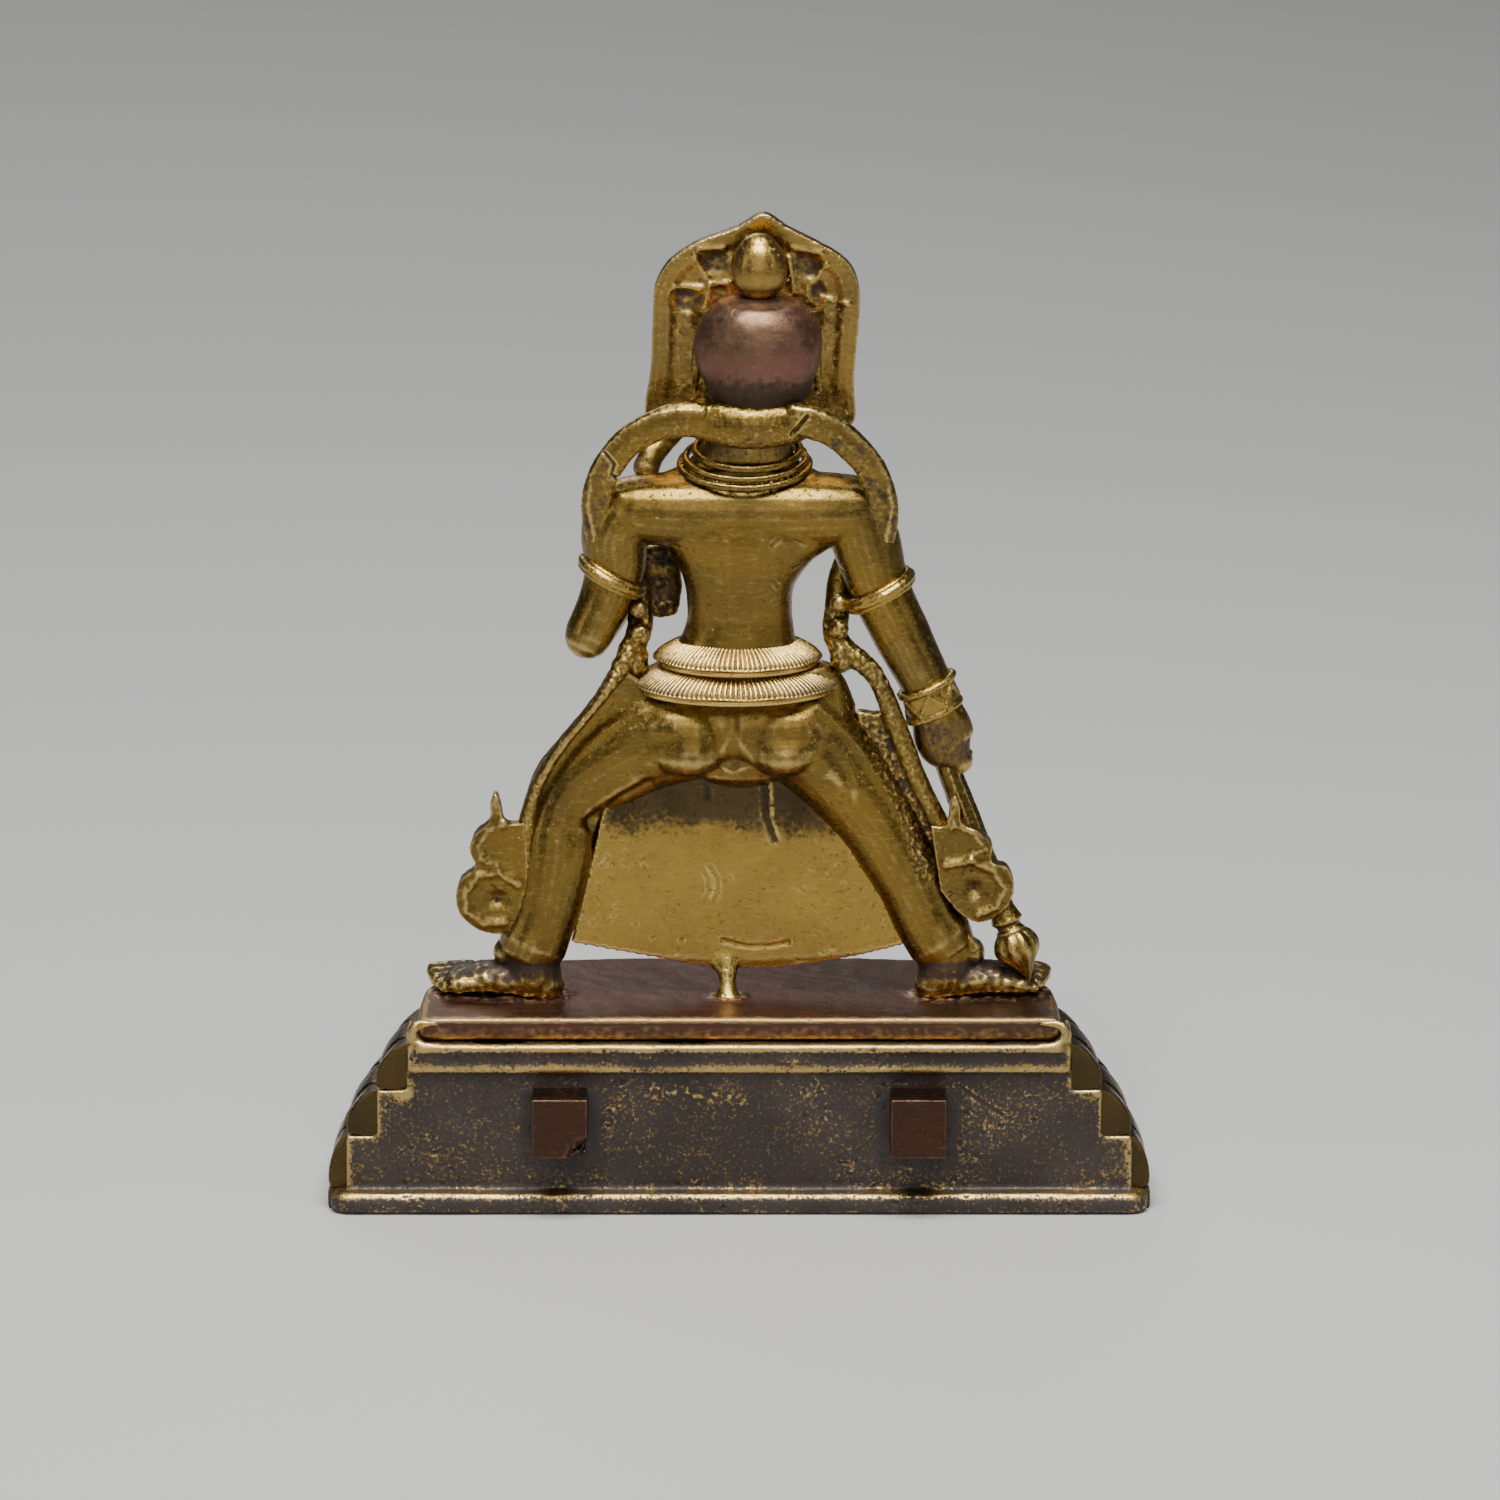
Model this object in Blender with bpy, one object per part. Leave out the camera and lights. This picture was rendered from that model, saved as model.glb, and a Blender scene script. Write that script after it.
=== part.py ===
# Gilt copper figure of a wrathful deity in a wide lunge, standing on a stepped petal base.
# Metres, +Z up, facing -Y. The figure and its thin foot slab are one casting, and the slab
# lies in a seat on top of the base. The base is flat behind, where two tenons stand out.

import math

import bmesh
import bpy
from mathutils import Matrix, Vector

# Foot slab of the figure.
SLAB_WIDTH = 0.0900
SLAB_DEPTH = 0.0302
SLAB_THICKNESS = 0.0032
SLAB_SETBACK = 0.0010
CLEARANCE = 0.0003

# Base: a flange, three tiers of petals from the bottom up, and two lips beside the slab.
FLANGE_HEIGHT = 0.0030
FLANGE_REACH = 0.0030
FLANGE_ROUND = 0.0006
FLANGE_CORNER = 0.6
TIER_HEIGHTS = (0.0077, 0.0067, 0.0067)
PETAL_BULGES = (0.0027, 0.0043, 0.0044)
TIER_STEP = 0.0043
PETAL_COUNT = 17
CORE_POWER = 3.8
PETAL_POWER = 2.8
LEDGE_HEIGHT = 0.0042
LEDGE_REACH = 0.0008
LIP_THICKNESS = 0.0011
LIP_HEIGHT = 0.0024
LIP_LENGTH = 0.0040
TENON_WIDTH = 0.0080
TENON_HEIGHT = 0.0086
TENON_LENGTH = 0.0060
TENON_SPACING = 0.0500
TENON_LEVEL = 0.0136

# Figure. Its pose and carving are shares of its height, in units of 1/111.2 of it.
FIGURE_HEIGHT = 0.1112
SHARE = FIGURE_HEIGHT / 111.2
GRAIN = 0.42 * SHARE
FIGURE_SHARE = 0.026

BASE_HEIGHT = FLANGE_HEIGHT + sum(TIER_HEIGHTS)
SLAB_TOP = BASE_HEIGHT + CLEARANCE + SLAB_THICKNESS
CORE_WIDTH = SLAB_WIDTH / 2 + CLEARANCE + LIP_THICKNESS
CORE_DEPTH = SLAB_SETBACK + SLAB_DEPTH + CLEARANCE
FULL_DEPTH = CORE_DEPTH + 2 * TIER_STEP + PETAL_BULGES[0] + TENON_LENGTH
WALL_Y = FULL_DEPTH / 2 - TENON_LENGTH
SLAB_BACK = WALL_Y - SLAB_SETBACK
SLAB_MIDDLE = SLAB_BACK - SLAB_DEPTH / 2


# Scene, materials and objects

def clear_scene():
    for old in list(bpy.data.objects):
        bpy.data.objects.remove(old, do_unlink=True)


def metal(name, colour, roughness):
    made = bpy.data.materials.new(name)
    made.use_nodes = True
    shader = made.node_tree.nodes["Principled BSDF"]
    shader.inputs["Base Color"].default_value = (*colour, 1.0)
    shader.inputs["Metallic"].default_value = 1.0
    shader.inputs["Roughness"].default_value = roughness
    return made


def finish_mesh(name, shape, material):
    bmesh.ops.recalc_face_normals(shape, faces=shape.faces)
    mesh = bpy.data.meshes.new(name)
    shape.to_mesh(mesh)
    shape.free()
    made = bpy.data.objects.new(name, mesh)
    made.data.materials.append(material)
    bpy.context.scene.collection.objects.link(made)
    return made


def helper(name, shape, material):
    made = finish_mesh(name, shape, material)
    made.hide_render = True
    made.display_type = "WIRE"
    return made


def add_boolean(target, tool, operation):
    step = target.modifiers.new(tool.name, "BOOLEAN")
    step.operation = operation
    step.object = tool


# Shapes that the figure is built from, in shares of its height

def through(points, steps):
    # A smooth curve through points of any number of values.
    last = len(points) - 1
    result = []
    for index in range(last):
        four = [points[min(max(index + shift, 0), last)] for shift in (-1, 0, 1, 2)]
        for step in range(steps):
            t = step / steps
            weights = (
                (-t + 2 * t**2 - t**3) / 2,
                (2 - 5 * t**2 + 3 * t**3) / 2,
                (t + 4 * t**2 - 3 * t**3) / 2,
                (t**3 - t**2) / 2,
            )
            mixed = [0.0] * len(points[0])
            for weight, point in zip(weights, four):
                mixed = [value + weight * part for value, part in zip(mixed, point)]
            result.append(tuple(mixed))
    result.append(tuple(points[-1]))
    return result


def loft(shape, stations, depth_axis=(0, 1, 0), steps=4, sides=18):
    # Sweeps an ellipse along stations of (x, y, z, half width, half depth), with rounded ends.
    curve = through(stations, steps)
    path = [Vector(station[:3]) for station in curve]
    sections = []
    for index, station in enumerate(curve):
        ahead = path[min(index + 1, len(path) - 1)]
        behind = path[max(index - 1, 0)]
        along = (ahead - behind).normalized()
        depth = Vector(depth_axis)
        depth = (depth - along * depth.dot(along)).normalized()
        sections.append((path[index], along, depth.cross(along), depth, station[3], station[4]))
    sections = end_cap(sections[0], -1)[::-1] + sections + end_cap(sections[-1], 1)
    loops = []
    for centre, along, wide, deep, half_width, half_depth in sections:
        frame = Matrix.Translation(centre) @ Matrix((wide, deep, along)).transposed().to_4x4()
        frame = frame @ Matrix.Diagonal((half_width, half_depth, 1, 1))
        loops.append(bmesh.ops.create_circle(shape, segments=sides, radius=1, matrix=frame)["verts"])
    for lower, upper in zip(loops, loops[1:]):
        bridge(shape, lower, upper)
    shape.faces.new(loops[0][::-1])
    shape.faces.new(loops[-1])


def end_cap(section, direction):
    centre, along, wide, deep, half_width, half_depth = section
    reach = min(half_width, half_depth)
    caps = []
    for angle in (math.radians(30), math.radians(55), math.radians(78)):
        moved = centre + along * direction * reach * math.sin(angle)
        size = math.cos(angle)
        caps.append((moved, along, wide, deep, half_width * size, half_depth * size))
    return caps


def bridge(shape, lower, upper):
    count = len(lower)
    for index in range(count):
        after = (index + 1) % count
        shape.faces.new((lower[index], lower[after], upper[after], upper[index]))


def ball(shape, centre, radii):
    frame = Matrix.Translation(centre) @ Matrix.Diagonal((*radii, 1))
    bmesh.ops.create_uvsphere(shape, u_segments=20, v_segments=12, radius=1, matrix=frame)


def hoop(shape, centre, along, radii, rim, turns=36, sides=8):
    # An elliptical ring round the direction along; rim is (half thickness, half height).
    frame = Vector(along).normalized().to_track_quat("Z", "Y").to_matrix()
    loops = []
    for turn in range(turns):
        angle = math.tau * turn / turns
        outward = Vector((math.cos(angle), math.sin(angle), 0))
        loop = []
        for side in range(sides):
            swing = math.tau * side / sides
            away = rim[0] * math.cos(swing)
            place = Vector((radii[0] * outward.x, radii[1] * outward.y, 0)) + outward * away
            place.z = rim[1] * math.sin(swing)
            loop.append(shape.verts.new(Vector(centre) + frame @ place))
        loops.append(loop)
    for index in range(turns):
        bridge(shape, loops[index], loops[(index + 1) % turns])


def plate(shape, outline, back, thickness):
    # A flat piece from an outline of (x, z), its back face at y = back.
    verts = [shape.verts.new((x, back, z)) for x, z in outline]
    face = shape.faces.new(verts)
    extruded = bmesh.ops.extrude_face_region(shape, geom=[face])["geom"]
    moved = [item for item in extruded if isinstance(item, bmesh.types.BMVert)]
    bmesh.ops.translate(shape, vec=(0, -thickness, 0), verts=moved)


# Parts of the figure

def add_trunk(shape):
    loft(shape, (
        (-0.3, 1.8, 34.4, 8.0, 4.6),
        (-0.3, 1.8, 36.4, 13.0, 5.8),
        (-0.2, 1.6, 39.8, 16.2, 6.4),
        (-0.1, 1.4, 43.6, 15.2, 6.6),
        (0.4, 1.2, 46.9, 12.8, 6.3),
        (0.1, 1.0, 49.9, 10.0, 6.0),
        (-0.1, 0.9, 52.9, 8.2, 5.8),
        (-0.1, 0.9, 55.6, 7.4, 5.6),
        (-0.1, 1.0, 59.4, 7.7, 5.8),
        (-0.3, 1.3, 63.4, 10.0, 6.2),
        (-0.6, 1.4, 66.9, 13.6, 6.2),
        (-0.9, 1.6, 70.2, 15.4, 5.9),
        (-1.0, 1.8, 72.6, 14.6, 4.6),
        (-1.1, 1.8, 74.6, 9.6, 4.4),
        (-1.2, 1.8, 76.8, 6.4, 4.8),
        (-1.6, 1.5, 80.4, 5.8, 5.2),
        (-2.2, 0.8, 86.0, 6.0, 5.5),
    ), sides=32)
    loft(shape, (
        (14.6, 1.6, 70.0, 4.6, 4.6),
        (7.0, 1.8, 70.4, 4.8, 5.3),
        (-8.8, 1.8, 70.4, 4.8, 5.3),
        (-16.0, 1.6, 69.8, 4.8, 4.6),
    ))
    ball(shape, (-0.2, -2.4, 53.5), (7.6, 6.4, 6.6))
    ball(shape, (-0.8, -1.4, 67.4), (6.0, 4.4, 6.0))
    for side in (-1, 1):
        ball(shape, (side * 5.0 - 0.8, -2.4, 66.0), (5.6, 3.6, 4.2))
        ball(shape, (side * 7.4 + 0.2, 3.0, 38.6), (6.8, 5.0, 5.2))


def add_belts(shape):
    hoop(shape, (0.2, 0.9, 49.5), (0, 0.03, 1), (10.8, 7.0), (1.0, 1.3))
    hoop(shape, (0.5, 1.1, 45.9), (0, 0.05, 1), (13.6, 7.8), (1.0, 1.3))
    ball(shape, (0.3, -6.8, 47.4), (3.0, 2.0, 3.0))


def add_legs(shape):
    loft(shape, (
        (7.0, 1.5, 38.5, 7.6, 5.8),
        (13.0, 1.2, 36.4, 7.2, 5.6),
        (18.2, 0.6, 33.3, 6.9, 5.4),
        (23.0, -0.2, 29.4, 6.2, 5.3),
        (25.2, 0.8, 24.0, 5.5, 4.9),
        (25.7, 1.8, 20.0, 5.3, 4.6),
        (26.6, 2.5, 14.5, 4.9, 4.2),
        (27.9, 3.0, 10.1, 4.7, 3.9),
        (29.0, 3.3, 7.4, 4.9, 4.2),
    ))
    loft(shape, (
        (-7.4, 1.5, 38.6, 7.6, 5.8),
        (-13.0, 1.3, 33.4, 7.0, 5.6),
        (-18.8, 1.2, 25.6, 5.9, 5.0),
        (-22.1, 1.8, 20.0, 5.3, 4.6),
        (-24.3, 2.4, 16.0, 5.0, 4.3),
        (-26.4, 3.0, 11.0, 4.7, 3.9),
        (-28.3, 3.3, 8.0, 4.9, 4.2),
    ))
    for side in (-1, 1):
        loft(shape, (
            (side * 29.2, 3.2, 7.0, 4.2, 4.0),
            (side * 32.4, 3.0, 6.2, 2.2, 2.6),
        ), sides=12)
        add_foot(shape, side)


def add_foot(shape, side):
    loft(shape, (
        (side * 29.0, 3.4, 7.0, 3.9, 3.6),
        (side * 29.0, 3.6, 2.4, 3.9, 3.4),
    ), sides=14)
    loft(shape, (
        (side * 27.2, 3.8, 1.6, 3.0, 2.6),
        (side * 31.0, 3.2, 2.2, 3.4, 2.6),
        (side * 35.0, 2.4, 1.9, 3.8, 2.2),
        (side * 39.2, 1.6, 1.3, 4.6, 1.7),
    ), depth_axis=(0, 0, 1), sides=14)
    for toe in range(5):
        share = toe / 4
        radius = 1.35 - 0.5 * share
        start = (side * 38.5, -1.9 + 6.0 * share, 1.5 - 0.3 * share, radius, radius)
        reach = 43.0 - 1.6 * share * share
        end = (side * reach, -3.0 + 7.6 * share, 1.2 - 0.3 * share, radius * 0.9, radius * 0.9)
        loft(shape, (start, end), depth_axis=(0, 0, 1), sides=8)


def add_cloth(shape):
    hem = through((
        (23.6, 7.6), (14.0, 5.8), (5.5, 4.3), (-0.8, 3.8), (-7.2, 4.1), (-15.6, 5.4), (-23.4, 7.4),
    ), 3)
    outline = [(12.0, 38.0), (19.0, 27.0)] + hem + [(-16.0, 26.0), (-10.0, 38.0)]
    plate(shape, outline, 3.1, 2.4)
    for fold in range(7):
        share = fold / 6 - 0.5
        foot = 5.4 + 18.0 * share * share
        loft(shape, (
            (14.0 * share, 0.0, 36.0, 1.2, 1.4),
            (26.0 * share, 0.4, 22.0, 1.7, 1.7),
            (38.0 * share, 0.6, foot, 2.2, 1.9),
        ), sides=8)
    loft(shape, (
        (0.4, -5.0, 46.0, 2.6, 1.2),
        (0.2, -4.6, 36.0, 3.0, 1.2),
        (0.0, -2.6, 20.0, 3.2, 1.1),
        (0.0, -1.4, 8.6, 3.8, 1.1),
    ), sides=12)
    loft(shape, (
        (1.6, 4.6, -0.4, 2.1, 1.8),
        (1.6, 4.3, 0.9, 1.6, 1.5),
        (1.5, 3.6, 2.6, 1.2, 1.2),
        (1.4, 2.4, 5.2, 1.5, 1.3),
    ), sides=12)


def add_arms(shape):
    loft(shape, (
        (15.6, 1.7, 70.0, 4.4, 4.4),
        (17.3, 1.5, 66.6, 4.7, 4.6),
        (17.2, 1.2, 61.8, 4.3, 4.3),
        (18.6, 1.4, 57.0, 3.7, 3.8),
        (20.7, 2.0, 52.6, 3.4, 3.4),
    ))
    loft(shape, (
        (20.4, 1.8, 52.6, 3.2, 3.2),
        (17.6, -3.5, 55.0, 3.0, 3.0),
        (13.0, -9.0, 58.6, 2.5, 2.5),
        (10.6, -11.4, 60.8, 2.2, 2.2),
    ), depth_axis=(0, 0, 1))
    hoop(shape, (17.6, 1.3, 60.4), (0.55, 0, -1), (4.3, 4.3), (0.8, 0.8), turns=20)
    hoop(shape, (12.2, -9.8, 59.4), (-0.7, -0.75, 0.55), (2.5, 2.5), (0.7, 1.2), turns=16)
    add_raised_hand(shape)
    loft(shape, (
        (-16.2, 1.7, 70.0, 4.4, 4.4),
        (-17.6, 1.5, 65.4, 4.8, 4.6),
        (-19.6, 1.5, 58.6, 4.3, 4.3),
        (-23.1, 1.5, 51.0, 4.0, 4.0),
        (-26.0, 1.4, 45.2, 3.6, 3.6),
        (-27.4, 1.3, 41.5, 3.2, 3.2),
    ))
    hoop(shape, (-19.5, 1.5, 58.3), (-0.52, 0, -1), (4.5, 4.5), (0.8, 0.8), turns=20)
    hoop(shape, (-26.5, 1.4, 44.4), (-0.45, 0, -1), (3.9, 3.9), (0.7, 0.8), turns=18)
    hoop(shape, (-27.8, 1.3, 41.0), (-0.45, 0, -1), (3.7, 3.7), (0.7, 0.8), turns=18)
    loft(shape, (
        (-27.4, 1.3, 42.0, 3.2, 3.1),
        (-28.3, 1.2, 38.6, 4.2, 3.0),
        (-29.2, 1.0, 35.6, 4.0, 2.7),
        (-31.0, 1.2, 33.4, 1.9, 1.7),
    ), sides=14)
    for finger in range(4):
        level = 38.6 - 1.5 * finger
        across = -28.6 - 0.5 * finger
        loft(shape, (
            (across - 2.6, -0.6, level, 0.8, 0.8),
            (across, -2.4, level - 0.2, 0.9, 0.9),
            (across + 2.6, -1.0, level - 0.6, 0.8, 0.8),
        ), sides=8)


def add_raised_hand(shape):
    # A fist before the chest with the first finger raised.
    ball(shape, (8.6, -12.4, 63.0), (2.6, 2.0, 2.6))
    loft(shape, (
        (7.4, -12.6, 64.0, 0.9, 0.9),
        (6.8, -12.8, 67.6, 0.85, 0.85),
        (6.6, -12.6, 70.0, 0.7, 0.7),
    ), sides=8)
    for finger in range(3):
        level = 63.8 - 1.3 * finger
        loft(shape, (
            (8.6, -14.0, level + 0.3, 0.75, 0.75),
            (6.2, -13.6, level, 0.75, 0.75),
        ), sides=8)


def add_scarf(shape):
    loft(shape, (
        (18.8, 3.6, 64.6, 2.0, 1.0),
        (19.7, 4.6, 70.0, 2.0, 1.0),
        (19.2, 5.4, 74.4, 2.0, 1.0),
        (17.5, 6.0, 77.9, 2.0, 1.0),
        (15.0, 6.4, 80.5, 2.0, 1.0),
        (11.4, 6.6, 82.4, 2.1, 1.0),
        (5.4, 6.8, 82.9, 2.1, 1.1),
        (-1.8, 7.0, 82.3, 2.2, 1.2),
        (-8.6, 6.8, 83.2, 2.1, 1.1),
        (-13.2, 6.6, 81.7, 2.1, 1.0),
        (-17.4, 6.0, 77.9, 2.0, 1.0),
        (-19.3, 5.4, 74.0, 2.0, 1.0),
        (-20.0, 4.6, 69.6, 2.0, 1.0),
        (-19.2, 3.6, 64.6, 2.0, 1.0),
    ))
    loft(shape, (
        (18.6, 0.0, 66.6, 1.8, 1.0),
        (15.0, -2.4, 61.0, 1.8, 1.2),
        (13.8, -0.4, 54.6, 1.8, 1.5),
        (14.6, 2.0, 50.6, 1.8, 1.5),
        (19.2, 3.0, 43.2, 1.0, 1.5),
        (25.2, 3.2, 35.6, 1.0, 1.5),
        (28.9, 3.4, 29.0, 1.1, 1.4),
        (30.0, 3.8, 22.0, 1.4, 1.4),
        (30.2, 3.9, 14.0, 1.4, 1.4),
    ))
    loft(shape, (
        (-18.6, 0.0, 66.6, 1.8, 1.0),
        (-14.8, -2.0, 61.0, 1.8, 1.2),
        (-13.7, -0.2, 55.4, 1.8, 1.5),
        (-13.9, 1.8, 50.6, 1.8, 1.5),
        (-18.6, 2.6, 46.6, 1.1, 1.3),
        (-22.4, 2.8, 38.6, 1.2, 1.3),
        (-25.4, 3.2, 31.0, 1.2, 1.3),
        (-28.4, 3.8, 24.0, 1.4, 1.4),
        (-30.2, 4.2, 15.4, 1.6, 1.4),
    ))
    for side, height in ((1, 48.2), (-1, 49.0)):
        ball(shape, (side * 14.4, 1.4, height), (1.8, 2.6, 2.6))
    plate(shape, ((13.6, 41.0), (14.6, 48.0), (19.2, 43.2), (25.4, 35.4), (20.0, 34.0)), 3.2, 2.4)
    plate(shape, (
        (-16.4, 41.0), (-21.2, 40.4), (-25.2, 31.0), (-29.6, 21.0), (-28.8, 13.0), (-24.0, 18.0),
        (-18.4, 33.0),
    ), 2.8, 2.4)
    add_curls(shape)


def add_curls(shape):
    # Scarf ends: a spike over two lobes; the lower lobe of the left one is pierced.
    left = through((
        (29.6, 25.6), (32.6, 25.5), (33.3, 28.2), (34.0, 29.8), (34.7, 28.4), (34.9, 25.8),
        (36.8, 24.0), (37.7, 21.4), (36.9, 19.2), (39.0, 17.2), (39.7, 14.3), (38.8, 11.8),
        (36.4, 10.0), (33.6, 9.4), (31.4, 10.4), (29.6, 13.0),
    ), 3)
    right = through((
        (-26.8, 25.4), (-29.0, 25.5), (-29.5, 28.2), (-30.1, 29.8), (-30.8, 28.2), (-31.2, 25.6),
        (-33.7, 24.4), (-35.4, 22.6), (-35.3, 20.2), (-37.6, 19.2), (-38.5, 16.6), (-37.5, 13.6),
        (-34.2, 11.4), (-31.0, 12.6), (-28.2, 16.0),
    ), 3)
    plate(shape, left, 5.3, 2.6)
    plate(shape, right, 6.2, 2.8)


def add_club(shape):
    top = Vector((-27.9, 0.5, 36.0))
    tip = Vector((-40.7, 4.8, 2.9))
    profile = (
        (-0.06, 1.5), (0.0, 1.6), (0.30, 1.9), (0.62, 1.9), (0.72, 1.7), (0.755, 2.3),
        (0.79, 1.8), (0.82, 2.9), (0.86, 3.3), (0.91, 2.9), (0.96, 1.5), (1.0, 0.6),
    )
    stations = [(*(top.lerp(tip, share)), radius, radius) for share, radius in profile]
    loft(shape, stations, steps=2, sides=12)


def add_head(shape):
    loft(shape, (
        (-2.7, 2.4, 86.0, 6.4, 5.5),
        (-2.7, 2.4, 88.0, 7.5, 6.4),
        (-2.7, 2.4, 91.0, 8.6, 7.3),
        (-2.7, 2.4, 94.0, 8.9, 7.6),
        (-2.7, 2.4, 97.0, 8.1, 6.9),
        (-2.7, 2.4, 98.9, 6.8, 5.9),
        (-2.7, 2.4, 100.0, 4.6, 4.0),
    ), sides=26)
    ball(shape, (-2.4, -3.2, 90.0), (7.8, 6.6, 8.6))
    ball(shape, (-2.75, 2.6, 104.2), (3.9, 3.6, 4.7))
    ball(shape, (-2.75, 2.6, 107.4), (2.5, 2.3, 1.9))
    outline = through((
        (10.8, 79.5), (12.6, 83.1), (11.8, 89.2), (11.5, 96.9), (11.2, 100.8), (9.9, 103.7),
        (7.9, 105.6), (5.0, 107.4), (0.0, 109.3), (-3.4, 111.2), (-6.4, 109.3), (-10.4, 107.2),
        (-14.2, 104.8), (-15.9, 102.0), (-16.3, 98.6), (-16.0, 93.8), (-15.5, 87.1),
        (-15.7, 82.1), (-13.8, 79.5),
    ), 3)
    plate(shape, outline, -0.9, 2.2)
    middle = Vector((-2.2, 95.0))
    rim = [Vector(point).lerp(middle, 0.055) for point in outline[3:-3]]
    loft(shape, [(x, -0.8, z, 0.8, 1.0) for x, z in rim], steps=1, sides=8)
    add_face(shape)
    add_crown(shape)


def add_face(shape):
    middle = -2.4
    loft(shape, (
        (middle, -9.4, 92.6, 0.9, 0.9),
        (middle, -11.0, 89.2, 1.7, 1.2),
    ), sides=10)
    for side in (-1, 1):
        ball(shape, (middle + side * 3.1, -8.9, 91.4), (1.7, 1.3, 1.4))
        ball(shape, (middle + side * 4.2, -7.4, 88.0), (2.4, 2.2, 2.0))
        loft(shape, (
            (middle + side * 0.9, -9.9, 93.0, 0.7, 0.8),
            (middle + side * 3.4, -9.2, 94.4, 0.8, 0.8),
            (middle + side * 6.2, -6.6, 93.4, 0.5, 0.6),
        ), sides=8)
        loft(shape, (
            (middle + side * 8.0, -2.0, 92.6, 1.0, 1.4),
            (middle + side * 8.6, -2.4, 86.0, 1.1, 1.2),
        ), sides=10)
        hoop(shape, (middle + side * 8.8, -3.4, 82.6), (0.2 * side, 1, 0), (2.0, 2.0), (0.8, 0.9), turns=16)
    loft(shape, (
        (middle + 3.6, -8.0, 85.0, 0.7, 0.8),
        (middle, -9.2, 86.4, 0.8, 0.8),
        (middle - 3.6, -8.0, 85.0, 0.7, 0.8),
    ), sides=8)
    ball(shape, (middle, -7.8, 83.4), (2.8, 1.6, 1.4))


def add_crown(shape):
    middle = -2.6
    hoop(shape, (middle, -1.6, 96.6), (0, -0.12, 1), (8.6, 7.4), (0.8, 1.1))
    for leaf in range(5):
        swing = math.radians((leaf - 2) * 30)
        x = middle + 9.0 * math.sin(swing)
        y = -1.6 - 7.8 * math.cos(swing)
        tall = 7.6 - 1.1 * abs(leaf - 2)
        loft(shape, (
            (x, y, 96.8, 1.8, 0.9),
            (x, y - 0.2, 96.8 + tall * 0.45, 2.1, 0.9),
            (x, y + 0.2, 96.8 + tall, 0.5, 0.5),
        ), sides=10)


def add_necklaces(shape):
    hoop(shape, (-1.3, 1.2, 76.9), (0, 0.42, 1), (7.0, 6.2), (0.9, 0.9))
    hoop(shape, (-1.0, -1.0, 72.2), (0, 0.66, 1), (9.0, 6.6), (0.7, 0.9))
    ball(shape, (-1.0, -6.8, 67.0), (1.8, 1.2, 2.0))


def make_figure(material):
    shape = bmesh.new()
    add_trunk(shape)
    add_belts(shape)
    add_legs(shape)
    add_cloth(shape)
    add_arms(shape)
    add_scarf(shape)
    add_club(shape)
    add_head(shape)
    add_necklaces(shape)
    place = Matrix.Translation((0, SLAB_MIDDLE, SLAB_TOP)) @ Matrix.Scale(SHARE, 4)
    bmesh.ops.transform(shape, matrix=place, verts=shape.verts)
    figure = finish_mesh("figure", shape, material)
    skin = figure.modifiers.new("one skin", "REMESH")
    skin.mode = "VOXEL"
    skin.voxel_size = GRAIN
    soften = figure.modifiers.new("soften", "SMOOTH")
    soften.factor = 0.5
    soften.iterations = 3
    thin = figure.modifiers.new("facets", "DECIMATE")
    thin.ratio = FIGURE_SHARE
    thin.use_collapse_triangulate = True
    return figure


# Base and slab

def plan(half_width, reach, power, back, count):
    # Evenly spaced points from the right back corner round the front to the left one.
    fine = []
    for step in range(721):
        angle = math.pi * step / 720
        across = math.cos(angle)
        ahead = math.sin(angle)
        x = half_width * math.copysign(abs(across) ** (2 / power), across)
        fine.append(Vector((x, WALL_Y - reach * ahead ** (2 / power))))
    runs = [0.0]
    for near, far in zip(fine, fine[1:]):
        runs.append(runs[-1] + (far - near).length)
    points = []
    at = 0
    for index in range(count + 1):
        run = runs[-1] * index / count
        while at < len(fine) - 2 and runs[at + 1] < run:
            at += 1
        share = (run - runs[at]) / (runs[at + 1] - runs[at])
        points.append(fine[at].lerp(fine[at + 1], share))
    points[0] = Vector((half_width, back))
    points[-1] = Vector((-half_width, back))
    return points


def petal_plan(tier, bulge, back, corner):
    # The outline of a tier at one level: a core, swollen between the grooves of its petals,
    # and swollen by the share corner where it meets the back.
    step = TIER_STEP * (2 - tier)
    count = PETAL_COUNT * 4
    core = plan(CORE_WIDTH + step, CORE_DEPTH + step, CORE_POWER, back, count)
    full = PETAL_BULGES[tier] * bulge
    power = CORE_POWER + (PETAL_POWER - CORE_POWER) * bulge
    outer = plan(CORE_WIDTH + step + full, CORE_DEPTH + step + full, power, back, count)
    points = []
    for index in range(count + 1):
        swell = abs(math.sin(math.pi * index / 4)) ** 0.7 if index % 4 else 0.25
        if index in (0, count):
            swell = corner
        points.append(core[index].lerp(outer[index], swell))
    return points


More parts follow.
